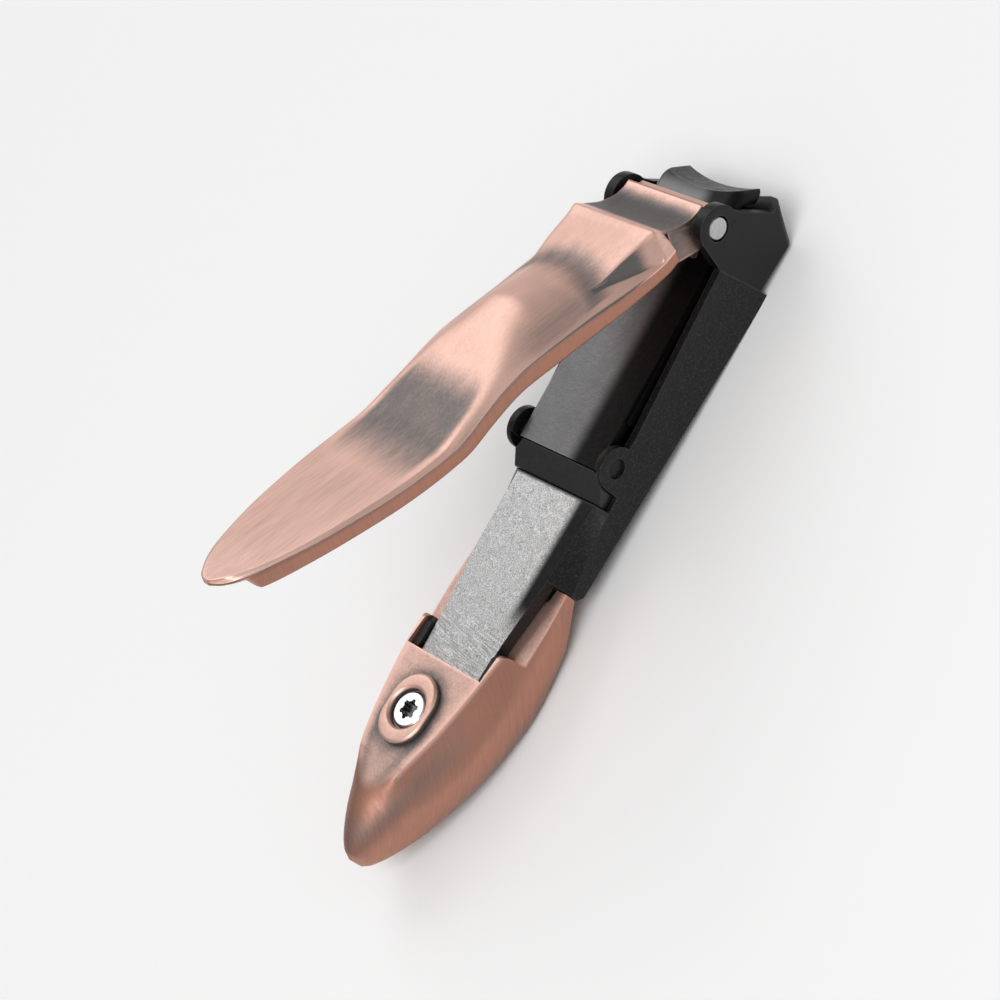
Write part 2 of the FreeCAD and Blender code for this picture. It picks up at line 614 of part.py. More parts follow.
def build_leaf_spring():
    """Bent leaf spring: a flat foot on the lower arm and a blade that rises to the upper jaw."""
    body = new_body("leaf_spring", rest())
    base = "jaw_floor_z + jaw_arm_thick"
    slope = "(arm_flat_z - arm_rear_z) / (arm_knee_x - arm_rear_x)"
    tip = f"arm_rear_z + ({slope}) * (leaf_tip_x - 1.2 - arm_rear_x) - arm_thick - leaf_gap"
    side = polygon(body, "leaf_side", [
        ("leaf_back_x", base), ("leaf_foot_x", base), ("leaf_tip_x - 1.2", f"{tip} - leaf_thick"),
        ("leaf_tip_x", f"{tip} - 2 * leaf_thick"), ("leaf_tip_x", f"{tip} - leaf_thick"),
        ("leaf_tip_x - 1.2", tip), ("leaf_foot_x - 0.6 * leaf_thick", f"{base} + leaf_thick"),
        ("leaf_back_x", f"{base} + leaf_thick")])
    extrude(body, "Pad", "leaf_strip", side, "2 * leaf_half")
    hole = circle(body, "leaf_rivet_hole", "rivet_radius + seat_gap", "rivet_x", "0",
                  "XY_Plane", base)
    extrude(body, "Pocket", "leaf_rivet_bore", hole, "4 * leaf_thick")
    return body


def build_spring_rivet():
    """Dome-headed rivet that holds the leaf spring's foot to the lower arm."""
    body = new_body("spring_rivet", rest())
    base = "jaw_floor_z"
    top = "jaw_floor_z + jaw_arm_thick + leaf_thick"
    shank = circle(body, "rivet_round", "rivet_radius", "rivet_x", "0", "XY_Plane", base)
    extrude(body, "Pad", "rivet_shank", shank, "jaw_arm_thick + leaf_thick + rivet_head / 2", False)
    head = circle(body, "rivet_head_round", "rivet_head_radius", "rivet_x", "0", "XY_Plane", top)
    extrude(body, "Pad", "rivet_top", head, "rivet_head", False)
    bevel(body, "rivet_edge", "0.4 * rivet_head",
          lambda edge, at: len(edge.Vertexes) == 1 and at.z > val(top) + 0.5 * val("rivet_head"))
    return body


def build_lever():
    """Cast lever: saddle and ridge at the head, cam nose below, raised waist and leaf-shaped tail."""
    body = new_body("lever", rest("lever_raise"))
    sections = []
    for number in range(1, len(LEVER_SECTIONS) + 1):
        def cell(key, number=number):
            return f"lever{number:02d}_{key}"
        right = [("under", "half"), ("crease", "half"), ("foot", "foot_half"), ("top", "top_half")]
        points = [(cell(half), cell(height)) for height, half in right]
        points.append(("0", cell("crown")))
        points += [(f"-{cell(half)}", cell(height)) for height, half in reversed(right)]
        sections.append(polygon(body, f"lever_section_{number:02d}", points, "YZ_Plane",
                                "-" + cell("at")))
    loft(body, "AdditiveLoft", "lever_body", sections, False)
    head = polygon(body, "lever_head_side", [
        ("lever_lip_x", "lever_lip_z"), ("lever_dip_x", "lever_dip_z"),
        ("lever_bank_x", "lever_bank_z"), ("-lever02_at", "lever02_top"),
        ("-lever03_at", "lever03_top"), ("-lever03_at", "0"), ("lever_throat_x", "lever_throat_z"),
        ("0", "-lever_boss_radius"), ("0.8 * lever_boss_radius", "0.6 * lever_boss_radius")])
    extrude(body, "Pad", "lever_head", head, "2 * lever_head_half")
    boss = circle(body, "lever_boss_round", "lever_boss_radius")
    extrude(body, "Pad", "lever_boss", boss, "2 * lever_head_half")
    over = polygon(body, "lever_saddle_side", [
        ("lever_lip_x", "lever_lip_z"), ("lever_dip_x", "lever_dip_z"),
        ("lever_bank_x", "lever_bank_z"), ("-lever02_at", "lever02_top"),
        ("-lever02_at", "3 * lever_lip_z"), ("lever_lip_x", "3 * lever_lip_z")])
    extrude(body, "Pocket", "lever_saddle", over, "2 * jaw_half")
    lag = "(cam_lag - lever_raise) * 1 deg"
    cam_x, cam_z = f"-cam_reach * sin({lag})", f"-cam_reach * cos({lag})"
    cam = polygon(body, "cam_side", [
        (f"{cam_x} + cam_radius", cam_z), ("0.4 * lever_boss_radius", "-0.8 * lever_boss_radius"),
        ("0", "0"), ("0.7 * lever_throat_x", "lever_throat_z"), (f"{cam_x} - cam_radius", cam_z)])
    extrude(body, "Pad", "cam_root", cam, "2 * cam_half")
    extrude(body, "Pad", "cam_nose", circle(body, "cam_round", "cam_radius", cam_x, cam_z),
            "2 * cam_half")
    step = polygon(body, "tail_step", [
        ("tail_step_x", "tail_step_z"), ("2 * tail_step_x", "tail_step_z"),
        ("2 * tail_step_x", "3 * tail_step_z"), ("tail_step_x + 0.6", "3 * tail_step_z"),
        ("tail_step_x + 0.3", "1.2 * tail_step_z")])
    extrude(body, "Pocket", "tail_undercut", step, "4 * jaw_half")
    hole = circle(body, "lever_hole", "lever_pin_radius + run_gap")
    extrude(body, "Pocket", "lever_bore", hole, "4 * jaw_half")
    return body


def cap_section(number):
    """Closed wire of one cap section: a straight top and a smooth curve round the keel."""
    def cell(key):
        return val(f"cap{number:02d}_{key}")
    x = cell("at")
    right = [(cell("top_half"), cell("top")), (cell("wide"), cell("wide_z")),
             (cell("bilge"), cell("bilge_z"))]
    points = [Vector(x, y, z) for y, z in right] + [Vector(x, 0, cell("keel"))]
    points += [Vector(x, -y, z) for y, z in reversed(right)]
    hull = Part.BSplineCurve()
    hull.interpolate(points)
    return Part.Wire([hull.toShape(), Part.LineSegment(points[-1], points[0]).toShape()])


def prism(points, half):
    """Solid between -half and +half in Y above a polygon of (x, z) corners."""
    corners = [Vector(x, -half, z) for x, z in points]
    face = Part.Face(Part.makePolygon(corners + corners[:1]))
    return face.extrude(Vector(0, 2 * half, 0))


def facet_height(x):
    """Height of the cap's flat top facet at a station x."""
    return val("facet_z") + (val("facet_x") - x) * math.tan(math.radians(val("facet_rise")))


def build_tail_cap():
    """Boat-shaped cast cap: forward wings, horns, a flat top facet and a hollow for the liner."""
    hull = Part.makeLoft([cap_section(number) for number in range(1, len(CAP_SECTIONS) + 1)],
                         True, False)
    wide = 4 * val("cap03_wide")
    front, horn, facet = val("cap_front_x") + 1, val("horn_x"), val("facet_x")
    wing, turn = val("wing_top_z"), val("horn_round")
    over_wings = prism([(front, wing), (horn, wing), (horn, facet_height(horn) - turn),
                        (horn - 0.3 * turn, facet_height(horn) - 0.3 * turn),
                        (horn - turn, facet_height(horn) + 0.02), (horn - turn, 0), (front, 0)],
                       wide)
    half, floor = val("cavity_half"), val("cavity_floor_z")
    channel = prism([(horn, floor), (facet, floor), (facet, 0), (horn, 0)], half)
    inner, flare = val("wing_inner_half"), val("wing_flare_half")
    plan = [(front, -flare), (horn + 1, -inner), (horn - 0.01, -inner), (horn - 0.01, inner),
            (horn + 1, inner), (front, flare)]
    aisle_floor = val("aisle_floor_z")
    corners = [Vector(x, y, aisle_floor) for x, y in plan]
    aisle = Part.Face(Part.makePolygon(corners + corners[:1])).extrude(Vector(0, 0, -aisle_floor))
    back, back_half = val("cavity_back_x"), val("cavity_back_half")
    roof = val("cavity_roof")
    ends = []
    for x, y in ((facet + 0.01, half), (back, back_half)):
        top = facet_height(x) - roof
        corners = [Vector(x, -y, floor), Vector(x, y, floor), Vector(x, y, top),
                   Vector(x, -y, top)]
        ends.append(Part.makePolygon(corners + corners[:1]))
    cavity = Part.makeLoft(ends, True, True)
    tilt = Rotation(Vector(0, 1, 0), val("facet_rise"))
    seat = Vector(val("screw_x"), 0, facet_height(val("screw_x")))
    down = tilt.multVec(Vector(0, 0, -1))
    bore_radius = val("screw_head_radius + side_gap")
    bore = Part.makeCylinder(bore_radius, 4 * roof, seat - down * roof, down)
    tail = 2 * back
    below = prism([(front, val(floor_z(front))), (tail, val(floor_z(tail))), (tail, tail),
                   (front, tail)], wide)
    shape = hull.cut([over_wings, channel, aisle, cavity, bore, below]).removeSplitter()
    cap = doc.addObject("Part::Feature", "tail_cap")
    cap.Shape = shape.Solids[0]
    cap.Label = "tail_cap"
    cap.Placement = rest()
    return cap


def build_cap_liner():
    """Dark U-shaped liner between the cap and the tongue, raised beside the horns."""
    body = new_body("cap_liner", rest())
    front, back = "horn_x - liner_gap", "liner_back_x"
    half = "cavity_half - liner_gap"
    side = polygon(body, "liner_side", [
        (front, "liner_floor_z"), (back, "liner_floor_z"), (back, "liner_low_z"),
        ("facet_x - 0.05", "liner_low_z"), ("facet_x + liner_gap", "liner_top_z"),
        (front + " - 0.6 * horn_round", "liner_top_z"),
        (front, "liner_top_z - 0.5 * horn_round")])
    extrude(body, "Pad", "liner_block", side, f"2 * ({half})")
    inside = polygon(body, "liner_inside", [
        ("cap_front_x + 1", "liner_floor_z + liner_wall"),
        ("liner_back_x - 1", "liner_floor_z + liner_wall"),
        ("liner_back_x - 1", "0"), ("cap_front_x + 1", "0")])
    extrude(body, "Pocket", "liner_channel", inside, f"2 * ({half} - liner_wall)")
    taper = polygon(body, "liner_plan", [
        ("facet_x", half), ("2 * facet_x", half), ("2 * facet_x", "cavity_back_half - liner_gap"),
        ("cavity_back_x", "cavity_back_half - liner_gap")], "XY_Plane", "liner_floor_z")
    extrude(body, "Pocket", "liner_taper_left", taper, "4 * cavity_half")
    mirror = polygon(body, "liner_plan_right", [
        ("facet_x", f"-({half})"), ("2 * facet_x", f"-({half})"),
        ("2 * facet_x", "-(cavity_back_half - liner_gap)"),
        ("cavity_back_x", "-(cavity_back_half - liner_gap)")], "XY_Plane", "liner_floor_z")
    extrude(body, "Pocket", "liner_taper_right", mirror, "4 * cavity_half")
    hole = circle(body, "liner_screw_hole", "insert_radius + seat_gap",
                  screw_line_x("liner_floor_z"), "0", "XY_Plane", "liner_floor_z")
    extrude(body, "Pocket", "liner_screw_bore", hole, "4 * liner_wall")
    return body


def seat_pose():
    """Rest placement of a piece modelled about the screw's axis, with the facet as its z = 0."""
    x = val("screw_x")
    return rest("facet_rise", "screw_x", repr(facet_height(x)))


def build_screw_ring():
    """Oval ring that stands on the facet round the screw head, with a root in the cap's bore."""
    body = new_body("screw_ring", seat_pose())
    for sign, side in (("", "fore"), ("-", "aft")):
        end = circle(body, f"ring_{side}", "ring_end_radius", f"{sign}ring_stretch", "0",
                     "XY_Plane", "ring_seat")
        extrude(body, "Pad", f"ring_{side}_round", end, "ring_rise", False)
    middle = polygon(body, "ring_middle", [
        ("-ring_stretch", "-ring_end_radius"), ("ring_stretch", "-ring_end_radius"),
        ("ring_stretch", "ring_end_radius"), ("-ring_stretch", "ring_end_radius")],
        "XY_Plane", "ring_seat")
    extrude(body, "Pad", "ring_straight", middle, "ring_rise", False)
    hole = circle(body, "ring_hole", "screw_head_radius + side_gap", "0", "0", "XY_Plane")
    extrude(body, "Pocket", "ring_bore", hole, "4 * ring_rise")
    bevel(body, "ring_edge", "ring_bevel",
          lambda edge, at: at.z > val("0.9 * ring_rise"))
    return body


def build_tail_screw():
    """Countersunk-style screw with a six-lobe socket; the shank reaches down to the insert."""
    body = new_body("tail_screw", seat_pose())
    top = "ring_rise - screw_sink"
    head = circle(body, "screw_head_round", "screw_head_radius", "0", "0", "XY_Plane",
                  f"{top} - screw_head")
    extrude(body, "Pad", "screw_head", head, "screw_head", False)
    bevel(body, "screw_edge", "screw_dome",
          lambda edge, at: len(edge.Vertexes) == 1 and at.z > val(f"{top} - 0.3 * screw_head"))
    shank = circle(body, "screw_shank_round", "screw_radius", "0", "0", "XY_Plane",
                   f"{top} - screw_head - screw_length")
    extrude(body, "Pad", "screw_shank", shank, "screw_length + 0.2 * screw_head", False)
    floor = f"{top} - drive_depth"
    core = circle(body, "drive_core", "drive_radius", "0", "0", "XY_Plane", top)
    extrude(body, "Pocket", "drive_well", core, "2 * drive_depth")
    for number in range(6):
        angle = f"({number} * 60) * 1 deg"
        lobe = circle(body, f"drive_lobe_{number}", "drive_lobe",
                      f"drive_radius * cos({angle})", f"drive_radius * sin({angle})",
                      "XY_Plane", top)
        extrude(body, "Pocket", f"drive_flute_{number}", lobe, "2 * drive_depth")
    return body


def build_threaded_insert():
    """Brass insert in the liner's floor that takes the tail screw."""
    body = new_body("threaded_insert", rest())
    foot = "liner_floor_z"
    outer = circle(body, "insert_round", "insert_radius", screw_line_x(foot), "0", "XY_Plane", foot)
    extrude(body, "Pad", "insert_block", outer, "jaw_floor_z - liner_floor_z", False)
    hole = circle(body, "insert_hole", "screw_radius + side_gap", screw_line_x(foot), "0",
                  "XY_Plane", foot)
    extrude(body, "Pocket", "insert_bore", hole, "4 * insert_length")
    return body


BUILDERS = (
    build_lower_jaw, build_upper_jaw, build_lever_pin, build_hinge_pins, build_heel_bar,
    build_housing, build_leaf_spring, build_spring_rivet, build_lever, build_tail_cap,
    build_cap_liner, build_screw_ring, build_tail_screw, build_threaded_insert,
)


def export(pieces):
    """Check every object and every shape, then write one STEP file for each piece."""
    doc.recompute()
    for item in doc.Objects:
        if "Invalid" in item.State or "Error" in item.State:
            raise RuntimeError(f"{item.Name} is in state {item.State}")
    os.makedirs("parts", exist_ok=True)
    for piece in pieces:
        shape = piece.Shape
        if shape.isNull() or not shape.isValid():
            raise RuntimeError(f"{piece.Label} has no valid shape")
        shape.exportStep(f"parts/{piece.Label}.step")
        print(piece.Label, len(shape.Solids), round(shape.Volume, 1))


export([build() for build in BUILDERS])
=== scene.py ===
import logging
import math
from dataclasses import dataclass, replace
from enum import Enum

import bmesh
import bpy
import numpy as np
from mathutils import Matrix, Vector


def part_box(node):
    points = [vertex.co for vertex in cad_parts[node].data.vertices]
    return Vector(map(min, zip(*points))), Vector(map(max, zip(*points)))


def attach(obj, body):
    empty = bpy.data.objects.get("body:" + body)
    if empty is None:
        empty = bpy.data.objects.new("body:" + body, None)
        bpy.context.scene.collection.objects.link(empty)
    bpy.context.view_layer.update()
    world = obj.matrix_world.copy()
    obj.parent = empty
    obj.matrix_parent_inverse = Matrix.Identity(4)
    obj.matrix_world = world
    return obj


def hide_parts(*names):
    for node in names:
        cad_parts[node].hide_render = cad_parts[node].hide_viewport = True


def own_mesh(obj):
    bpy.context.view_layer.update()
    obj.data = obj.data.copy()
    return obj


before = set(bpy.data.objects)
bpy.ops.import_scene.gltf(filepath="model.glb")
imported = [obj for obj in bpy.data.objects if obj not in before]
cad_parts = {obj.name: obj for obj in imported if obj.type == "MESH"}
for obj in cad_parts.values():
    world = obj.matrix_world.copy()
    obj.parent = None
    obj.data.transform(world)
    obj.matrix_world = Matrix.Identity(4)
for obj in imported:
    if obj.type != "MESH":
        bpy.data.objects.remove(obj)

MM = 0.001
# Leans in degrees: the body's, the raised lever's, and the cap's facet over the body's.
BODY_TILT = 4.25
LEVER_RAISE = 33.25
FACET_RISE = 2.6
FACET_LEAN = BODY_TILT + FACET_RISE
# Vertices of a CAD node nearer than this, in metres, are one vertex.
SAME_POINT = 1e-6
LOG = logging.getLogger("nail_clipper")
Curve = tuple[tuple[float, float], ...]
Triple = tuple[float, float, float]
Colour = Triple
# Strength, then where a stretch starts, is full, begins to fade and ends.
Stretch = tuple[float, float, float, float, float]


class Body(Enum):
    """The rigid bodies of the clipper."""

    BASE = "base"
    JAW = "upper_jaw"
    LEVER = "lever"


class Grain(Enum):
    """Which way the brush marks of a metal run."""

    LENGTH = "along the clipper"
    LEVER = "along the raised lever"
    DIAGONAL = "across the flanks of the cap"
    CAP = "down the cap's flanks"
    NONE = "blasted, without a direction"


# ---------------------------------------------------------------- numpy helpers


def flowing(curve: Curve, at: np.ndarray) -> np.ndarray:
    """Smooth line through a few (station, value) points that never overshoots them.

    Cubic Hermite pieces whose slopes are the harmonic mean of the slopes on either side,
    and zero where those change sign.

    Args:
        curve: Stations in rising order, each with its value.
        at: Stations at which the value is wanted.

    Returns:
        The value at each station.
    """
    x, y = np.array(curve, float).T
    return hermite(x, y, at)


def hermite(x: np.ndarray, y: np.ndarray, at: np.ndarray) -> np.ndarray:
    """The same smooth line for values that may be whole arrays, one row of y for each x.

    Args:
        x: Stations in rising order.
        y: Value, or array of values, at each station.
        at: Stations at which the value is wanted.

    Returns:
        One value, or array of values, for each wanted station.
    """
    lift = (slice(None),) + (None,) * (y.ndim - 1)
    step = np.diff(x)[lift]
    slope = np.diff(y, axis=0) / step
    product = slope[:-1] * slope[1:]
    mean = np.where(product > 0, 2 * product / np.where(product > 0, slope[:-1] + slope[1:], 1), 0)
    tangent = np.concatenate([slope[:1], mean, slope[-1:]])
    piece = np.clip(np.searchsorted(x, at, side="right") - 1, 0, len(step) - 1)
    width = step[piece]
    t = np.clip((at - x[piece])[lift] / width, 0, 1)
    return (
        (2 * t**3 - 3 * t**2 + 1) * y[piece]
        + (t**3 - 2 * t**2 + t) * width * tangent[piece]
        + (3 * t**2 - 2 * t**3) * y[piece + 1]
        + (t**3 - t**2) * width * tangent[piece + 1]
    )


def kinked(front: Curve, back: Curve, at: np.ndarray) -> np.ndarray:
    """Two smooth lines that meet in a sharp corner at the back line's first station."""
    return np.where(at < back[0][0], flowing(front, at), flowing(back, at))


def swell(value: np.ndarray, low: float, high: float) -> np.ndarray:
    """Smooth step from 0 at low to 1 at high: 3t^2 - 2t^3 of the clipped share t."""
    t = np.clip((value - low) / (high - low), 0, 1)
    return t * t * (3 - 2 * t)


def hump(value: np.ndarray, centre: float, half: float) -> np.ndarray:
    """Bell of height 1 at centre: exp of minus the squared distance in half widths."""
    return np.exp(-(((value - centre) / half) ** 2))


def relax(grid: np.ndarray, rounds: int, axis: int, closed: bool) -> np.ndarray:
    """Round a surface off by pulling each point halfway to the mean of its two neighbours.

    Args:
        grid: Points as rows x columns x 3.
        rounds: How many times it is done.
        axis: 0 to round from row to row, 1 to round within each row.
        closed: True where the last line is next to the first.

    Returns:
        The rounded grid.
    """
    for _ in range(rounds):
        mean = 0.5 * (np.roll(grid, 1, axis) + np.roll(grid, -1, axis))
        moved = 0.5 * (grid + mean)
        if not closed:
            ends = [slice(None)] * 3
            for end in (0, -1):
                ends[axis] = end
                moved[tuple(ends)] = grid[tuple(ends)]
        grid = moved
    return grid


def stretch_of(value: np.ndarray, shape: Stretch) -> np.ndarray:
    """A level stretch with soft ends: its strength times one swell up and one swell down."""
    strength, start, full, fading, end = shape
    return strength * swell(value, start, full) * (1 - swell(value, fading, end))


def points_of(mesh: bpy.types.Mesh) -> np.ndarray:
    """The vertices of a mesh as rows of x, y and z in metres."""
    flat = np.zeros(len(mesh.vertices) * 3, np.float32)
    mesh.vertices.foreach_get("co", flat)
    return flat.reshape(-1, 3)


def centre_of(node: str) -> np.ndarray:
    """The middle of a CAD node's box."""
    low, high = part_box(node)
    return (np.array(low) + np.array(high)) / 2


def leaning(lean_deg: float) -> tuple[np.ndarray, np.ndarray]:
    """The directions back along and up from a piece that leans back by an angle."""
    angle = math.radians(lean_deg)
    return (np.array([-math.cos(angle), 0, math.sin(angle)]),
            np.array([math.sin(angle), 0, math.cos(angle)]))


def ring_mesh(name: str, rings: np.ndarray) -> bpy.types.Object:
    """Closed skin over a stack of rings, with a fan over each end.

    Args:
        name: Name of the new object.
        rings: Points in metres as rings x points x 3, each ring in the same order.

    Returns:
        The new object, linked to the scene, with faces outwards.
    """
    count, around = rings.shape[:2]
    near, far = rings[0].mean(0), rings[-1].mean(0)
    vertices = np.concatenate([rings.reshape(-1, 3), [near, far]])
    row, col = np.meshgrid(np.arange(count - 1), np.arange(around), indexing="ij")
    here, there = row * around + col, row * around + (col + 1) % around
    quads = np.stack([here, there, there + around, here + around], -1).reshape(-1, 4)
    ring = np.arange(around)
    after = (ring + 1) % around
    last = (count - 1) * around
    caps = np.concatenate([
        np.stack([after, ring, np.full(around, count * around)], -1),
        np.stack([last + ring, last + after, np.full(around, count * around + 1)], -1),
    ])
    mesh = bpy.data.meshes.new(name)
    mesh.from_pydata(vertices.tolist(), [], quads.tolist() + caps.tolist())
    mesh.update()
    shape = bmesh.new()
    shape.from_mesh(mesh)
    bmesh.ops.recalc_face_normals(shape, faces=shape.faces)
    shape.to_mesh(mesh)
    shape.free()
    mesh.polygons.foreach_set("use_smooth", np.ones(len(mesh.polygons), bool))
    piece = bpy.data.objects.new(name, mesh)
    bpy.context.scene.collection.objects.link(piece)
    return piece


def posed(raise_deg: float, behind: np.ndarray, side: np.ndarray,
          height: np.ndarray) -> np.ndarray:
    """Points measured from the lever's pin as points of the shared frame.

    A turn by raise_deg about the pin's axis, then a shift to the pin's centre.

    Args:
        raise_deg: How far the piece leans back.
        behind: Distances behind the pin in millimetres.
        side: Distances from the middle plane in millimetres.
        height: Heights above the pin in millimetres.

    Returns:
        The points in metres.
    """
    angle = math.radians(raise_deg)
    x = -behind * math.cos(angle) + height * math.sin(angle)
    z = behind * math.sin(angle) + height * math.cos(angle)
    return np.stack([x, side, z], -1) * MM + centre_of("lever_pin")


def unposed(raise_deg: float, points: np.ndarray) -> tuple[np.ndarray, np.ndarray, np.ndarray]:
    """Undo posed.

    Args:
        raise_deg: How far the piece leans back.
        points: Rows of x, y and z in metres.

    Returns:
        Distance behind the pin, side and height in millimetres.
    """
    x, y, z = ((points - centre_of("lever_pin")) / MM).T
    angle = math.radians(raise_deg)
    return (-x * math.cos(angle) + z * math.sin(angle), y,
            x * math.sin(angle) + z * math.cos(angle))


def paint(piece: bpy.types.Object, name: str, values: np.ndarray) -> None:
    """Store one number from 0 to 1 for each vertex of a piece as a named attribute."""
    layer = piece.data.attributes.new(name, "FLOAT", "POINT")
    layer.data.foreach_set("value", np.clip(values, 0, 1).astype(np.float32))


# ---------------------------------------------------------------- shader groups


class Nodes:
    """Small wrapper that makes, sets and links the nodes of one tree."""

    def __init__(self, tree: bpy.types.NodeTree) -> None:
        """Keep the tree that the nodes go in."""
        self.tree = tree

    def add(self, kind: str, **settings: object) -> bpy.types.Node:
        """Make one node.

        Args:
            kind: Blender's node type.
            settings: Properties of the node, by name.

        Returns:
            The node.
        """
        node = self.tree.nodes.new(kind)
        for name, value in settings.items():
            setattr(node, name, value)
        return node

    def feed(self, socket: bpy.types.NodeSocket, source: object) -> None:
        """Link a socket to another one, or set it to a value."""
        if isinstance(source, bpy.types.NodeSocket):
            self.tree.links.new(source, socket)
        else:
            socket.default_value = source

    def math(self, operation: str, *sources: object, clamp: bool = False) -> bpy.types.NodeSocket:
        """One Math node.

        Args:
            operation: Name of the operation.
            sources: Its inputs in order, each a socket or a number.
            clamp: True to keep the result from 0 to 1.

        Returns:
            The result.
        """
        node = self.add("ShaderNodeMath", operation=operation, use_clamp=clamp)
        for index, source in enumerate(sources):
            self.feed(node.inputs[index], source)
        return node.outputs[0]

    def sway(self, value: object, amount: float, middle: float = 0.0) -> bpy.types.NodeSocket:
        """Let a value from 0 to 1 move a number by an amount, half of it to either side."""
        return self.math("MULTIPLY_ADD", value, amount, middle - amount / 2)

    def axes(self, vector: object) -> tuple[bpy.types.NodeSocket, ...]:
        """The x, y and z of a vector."""
        node = self.add("ShaderNodeSeparateXYZ")
        self.feed(node.inputs[0], vector)
        return tuple(node.outputs)

    def span(self, value: object, low: float, high: float, to_low: float = 0.0,
             to_high: float = 1.0) -> bpy.types.NodeSocket:
        """Map a range smoothly onto another.

        Args:
            value: The number to map.
            low: Where the range starts.
            high: Where it ends.
            to_low: Result at low and before it.
            to_high: Result at high and past it.

        Returns:
            The mapped number.
        """
        node = self.add("ShaderNodeMapRange", interpolation_type="SMOOTHSTEP")
        for index, source in enumerate((value, low, high, to_low, to_high)):
            self.feed(node.inputs[index], source)
        return node.outputs[0]

    def blend(self, share: object, first: object, second: object,
              mode: str = "MIX") -> bpy.types.NodeSocket:
        """Mix two colours.

        Args:
            share: 0 for the first colour, 1 for the second.
            first: A colour or a socket.
            second: A colour or a socket.
            mode: How they are mixed.

        Returns:
            The mixed colour.
        """
        node = self.add("ShaderNodeMix", data_type="RGBA", blend_type=mode)
        self.feed(node.inputs[0], share)
        self.feed(node.inputs[6], rgba(first))
        self.feed(node.inputs[7], rgba(second))
        return node.outputs[2]

    def between(self, share: object, first: object, second: object) -> bpy.types.NodeSocket:
        """Number between first and second by a share from 0 to 1."""
        node = self.add("ShaderNodeMix", data_type="FLOAT")
        for index, source in zip((0, 2, 3), (share, first, second)):
            self.feed(node.inputs[index], source)
        return node.outputs[0]

    def grey(self, value: object) -> bpy.types.NodeSocket:
        """A grey colour of one value."""
        node = self.add("ShaderNodeCombineColor")
        for socket in node.inputs[:3]:
            self.feed(socket, value)
        return node.outputs[0]

    def noise(self, vector: object, scale: float, detail: float = 2.0,
              roughness: float = 0.5) -> bpy.types.NodeSocket:
        """Value of a Noise Texture.

        Args:
            vector: Where it is read.
            scale: Its cells for each metre.
            detail: How many finer layers it has.
            roughness: How strong the finer layers are.

        Returns:
            The noise, from 0 to 1.
        """
        node = self.add("ShaderNodeTexNoise")
        self.feed(node.inputs["Vector"], vector)
        node.inputs["Scale"].default_value = scale
        node.inputs["Detail"].default_value = detail
        node.inputs["Roughness"].default_value = roughness
        return node.outputs[0]

    def stretch(self, vector: object, turn: Triple, scale: Triple) -> bpy.types.NodeSocket:
        """Turn a vector and then stretch it along the new axes.

        Args:
            vector: The vector.
            turn: Turns about x, y and z in degrees.
            scale: Factor along each axis.

        Returns:
            The turned and stretched vector.
        """
        turned = self.add("ShaderNodeMapping")
        self.feed(turned.inputs["Vector"], vector)
        turned.inputs["Rotation"].default_value = [math.radians(angle) for angle in turn]
        scaled = self.add("ShaderNodeMapping")
        self.feed(scaled.inputs["Vector"], turned.outputs[0])
        scaled.inputs["Scale"].default_value = scale
        return scaled.outputs[0]

    def dot(self, first: object, second: object) -> bpy.types.NodeSocket:
        """The dot product of two vectors, each a socket or three numbers."""
        node = self.add("ShaderNodeVectorMath", operation="DOT_PRODUCT")
        self.feed(node.inputs[0], first)
        self.feed(node.inputs[1], second)
        return node.outputs["Value"]


def rgba(colour: object) -> object:
    """A colour triple with full alpha; a socket is handed back as it is."""
    return (*colour, 1.0) if isinstance(colour, tuple) else colour


def new_group(name: str, inputs: dict[str, tuple[str, object]],
              outputs: dict[str, str]) -> tuple[bpy.types.NodeTree, Nodes, dict, dict]:
    """Start a shader node group with named sockets.

    Args:
        name: Name of the group.
        inputs: Socket type and default value by name.
        outputs: Socket type by name.

    Returns:
        The tree, its node maker, the inner input sockets and the inner output sockets by name.
    """
    tree = bpy.data.node_groups.new(name, "ShaderNodeTree")
    for label, (kind, default) in inputs.items():
        socket = tree.interface.new_socket(label, in_out="INPUT", socket_type=kind)
        if default is not None:
            socket.default_value = default
    for label, kind in outputs.items():
        tree.interface.new_socket(label, in_out="OUTPUT", socket_type=kind)
    maker = Nodes(tree)
    entry, leave = maker.add("NodeGroupInput"), maker.add("NodeGroupOutput")
    return tree, maker, {s.name: s for s in entry.outputs}, {s.name: s for s in leave.inputs}


def brush_group() -> bpy.types.NodeTree:
    """Fine brush marks: noise on a stretched vector, mixed with a broader, softer streak.

    Returns:
        The shader group.
    """
    tree, make, inner, outer = new_group(
        "brush_marks", {"Vector": ("NodeSocketVector", None)},
        {"Fine": "NodeSocketFloat", "Broad": "NodeSocketFloat"})
    fine = make.noise(inner["Vector"], 1.0, 3.0, 0.65)
    wide = make.noise(make.stretch(inner["Vector"], (0, 0, 0), (0.5, 0.12, 0.12)), 1.0, 2.0)
    make.feed(outer["Fine"], make.span(fine, 0.25, 0.75))
    make.feed(outer["Broad"], make.span(wide, 0.3, 0.7))
    return tree


def wear_group() -> bpy.types.NodeTree:
    """Rubbed edges: how far the normal rounded over a radius differs from the real one.

    Returns:
        The shader group.
    """
    tree, make, inner, outer = new_group(
        "rubbed_edges", {"Radius": ("NodeSocketFloat", 0.0005), "Reach": ("NodeSocketFloat", 0.3)},
        {"Mask": "NodeSocketFloat"})
    bevel = make.add("ShaderNodeBevel", samples=6)
    make.feed(bevel.inputs["Radius"], inner["Radius"])
    real = make.add("ShaderNodeNewGeometry").outputs["Normal"]
    away = make.math("SUBTRACT", 1.0, make.dot(bevel.outputs[0], real))
    make.feed(outer["Mask"], make.math("DIVIDE", away, inner["Reach"], clamp=True))
    return tree


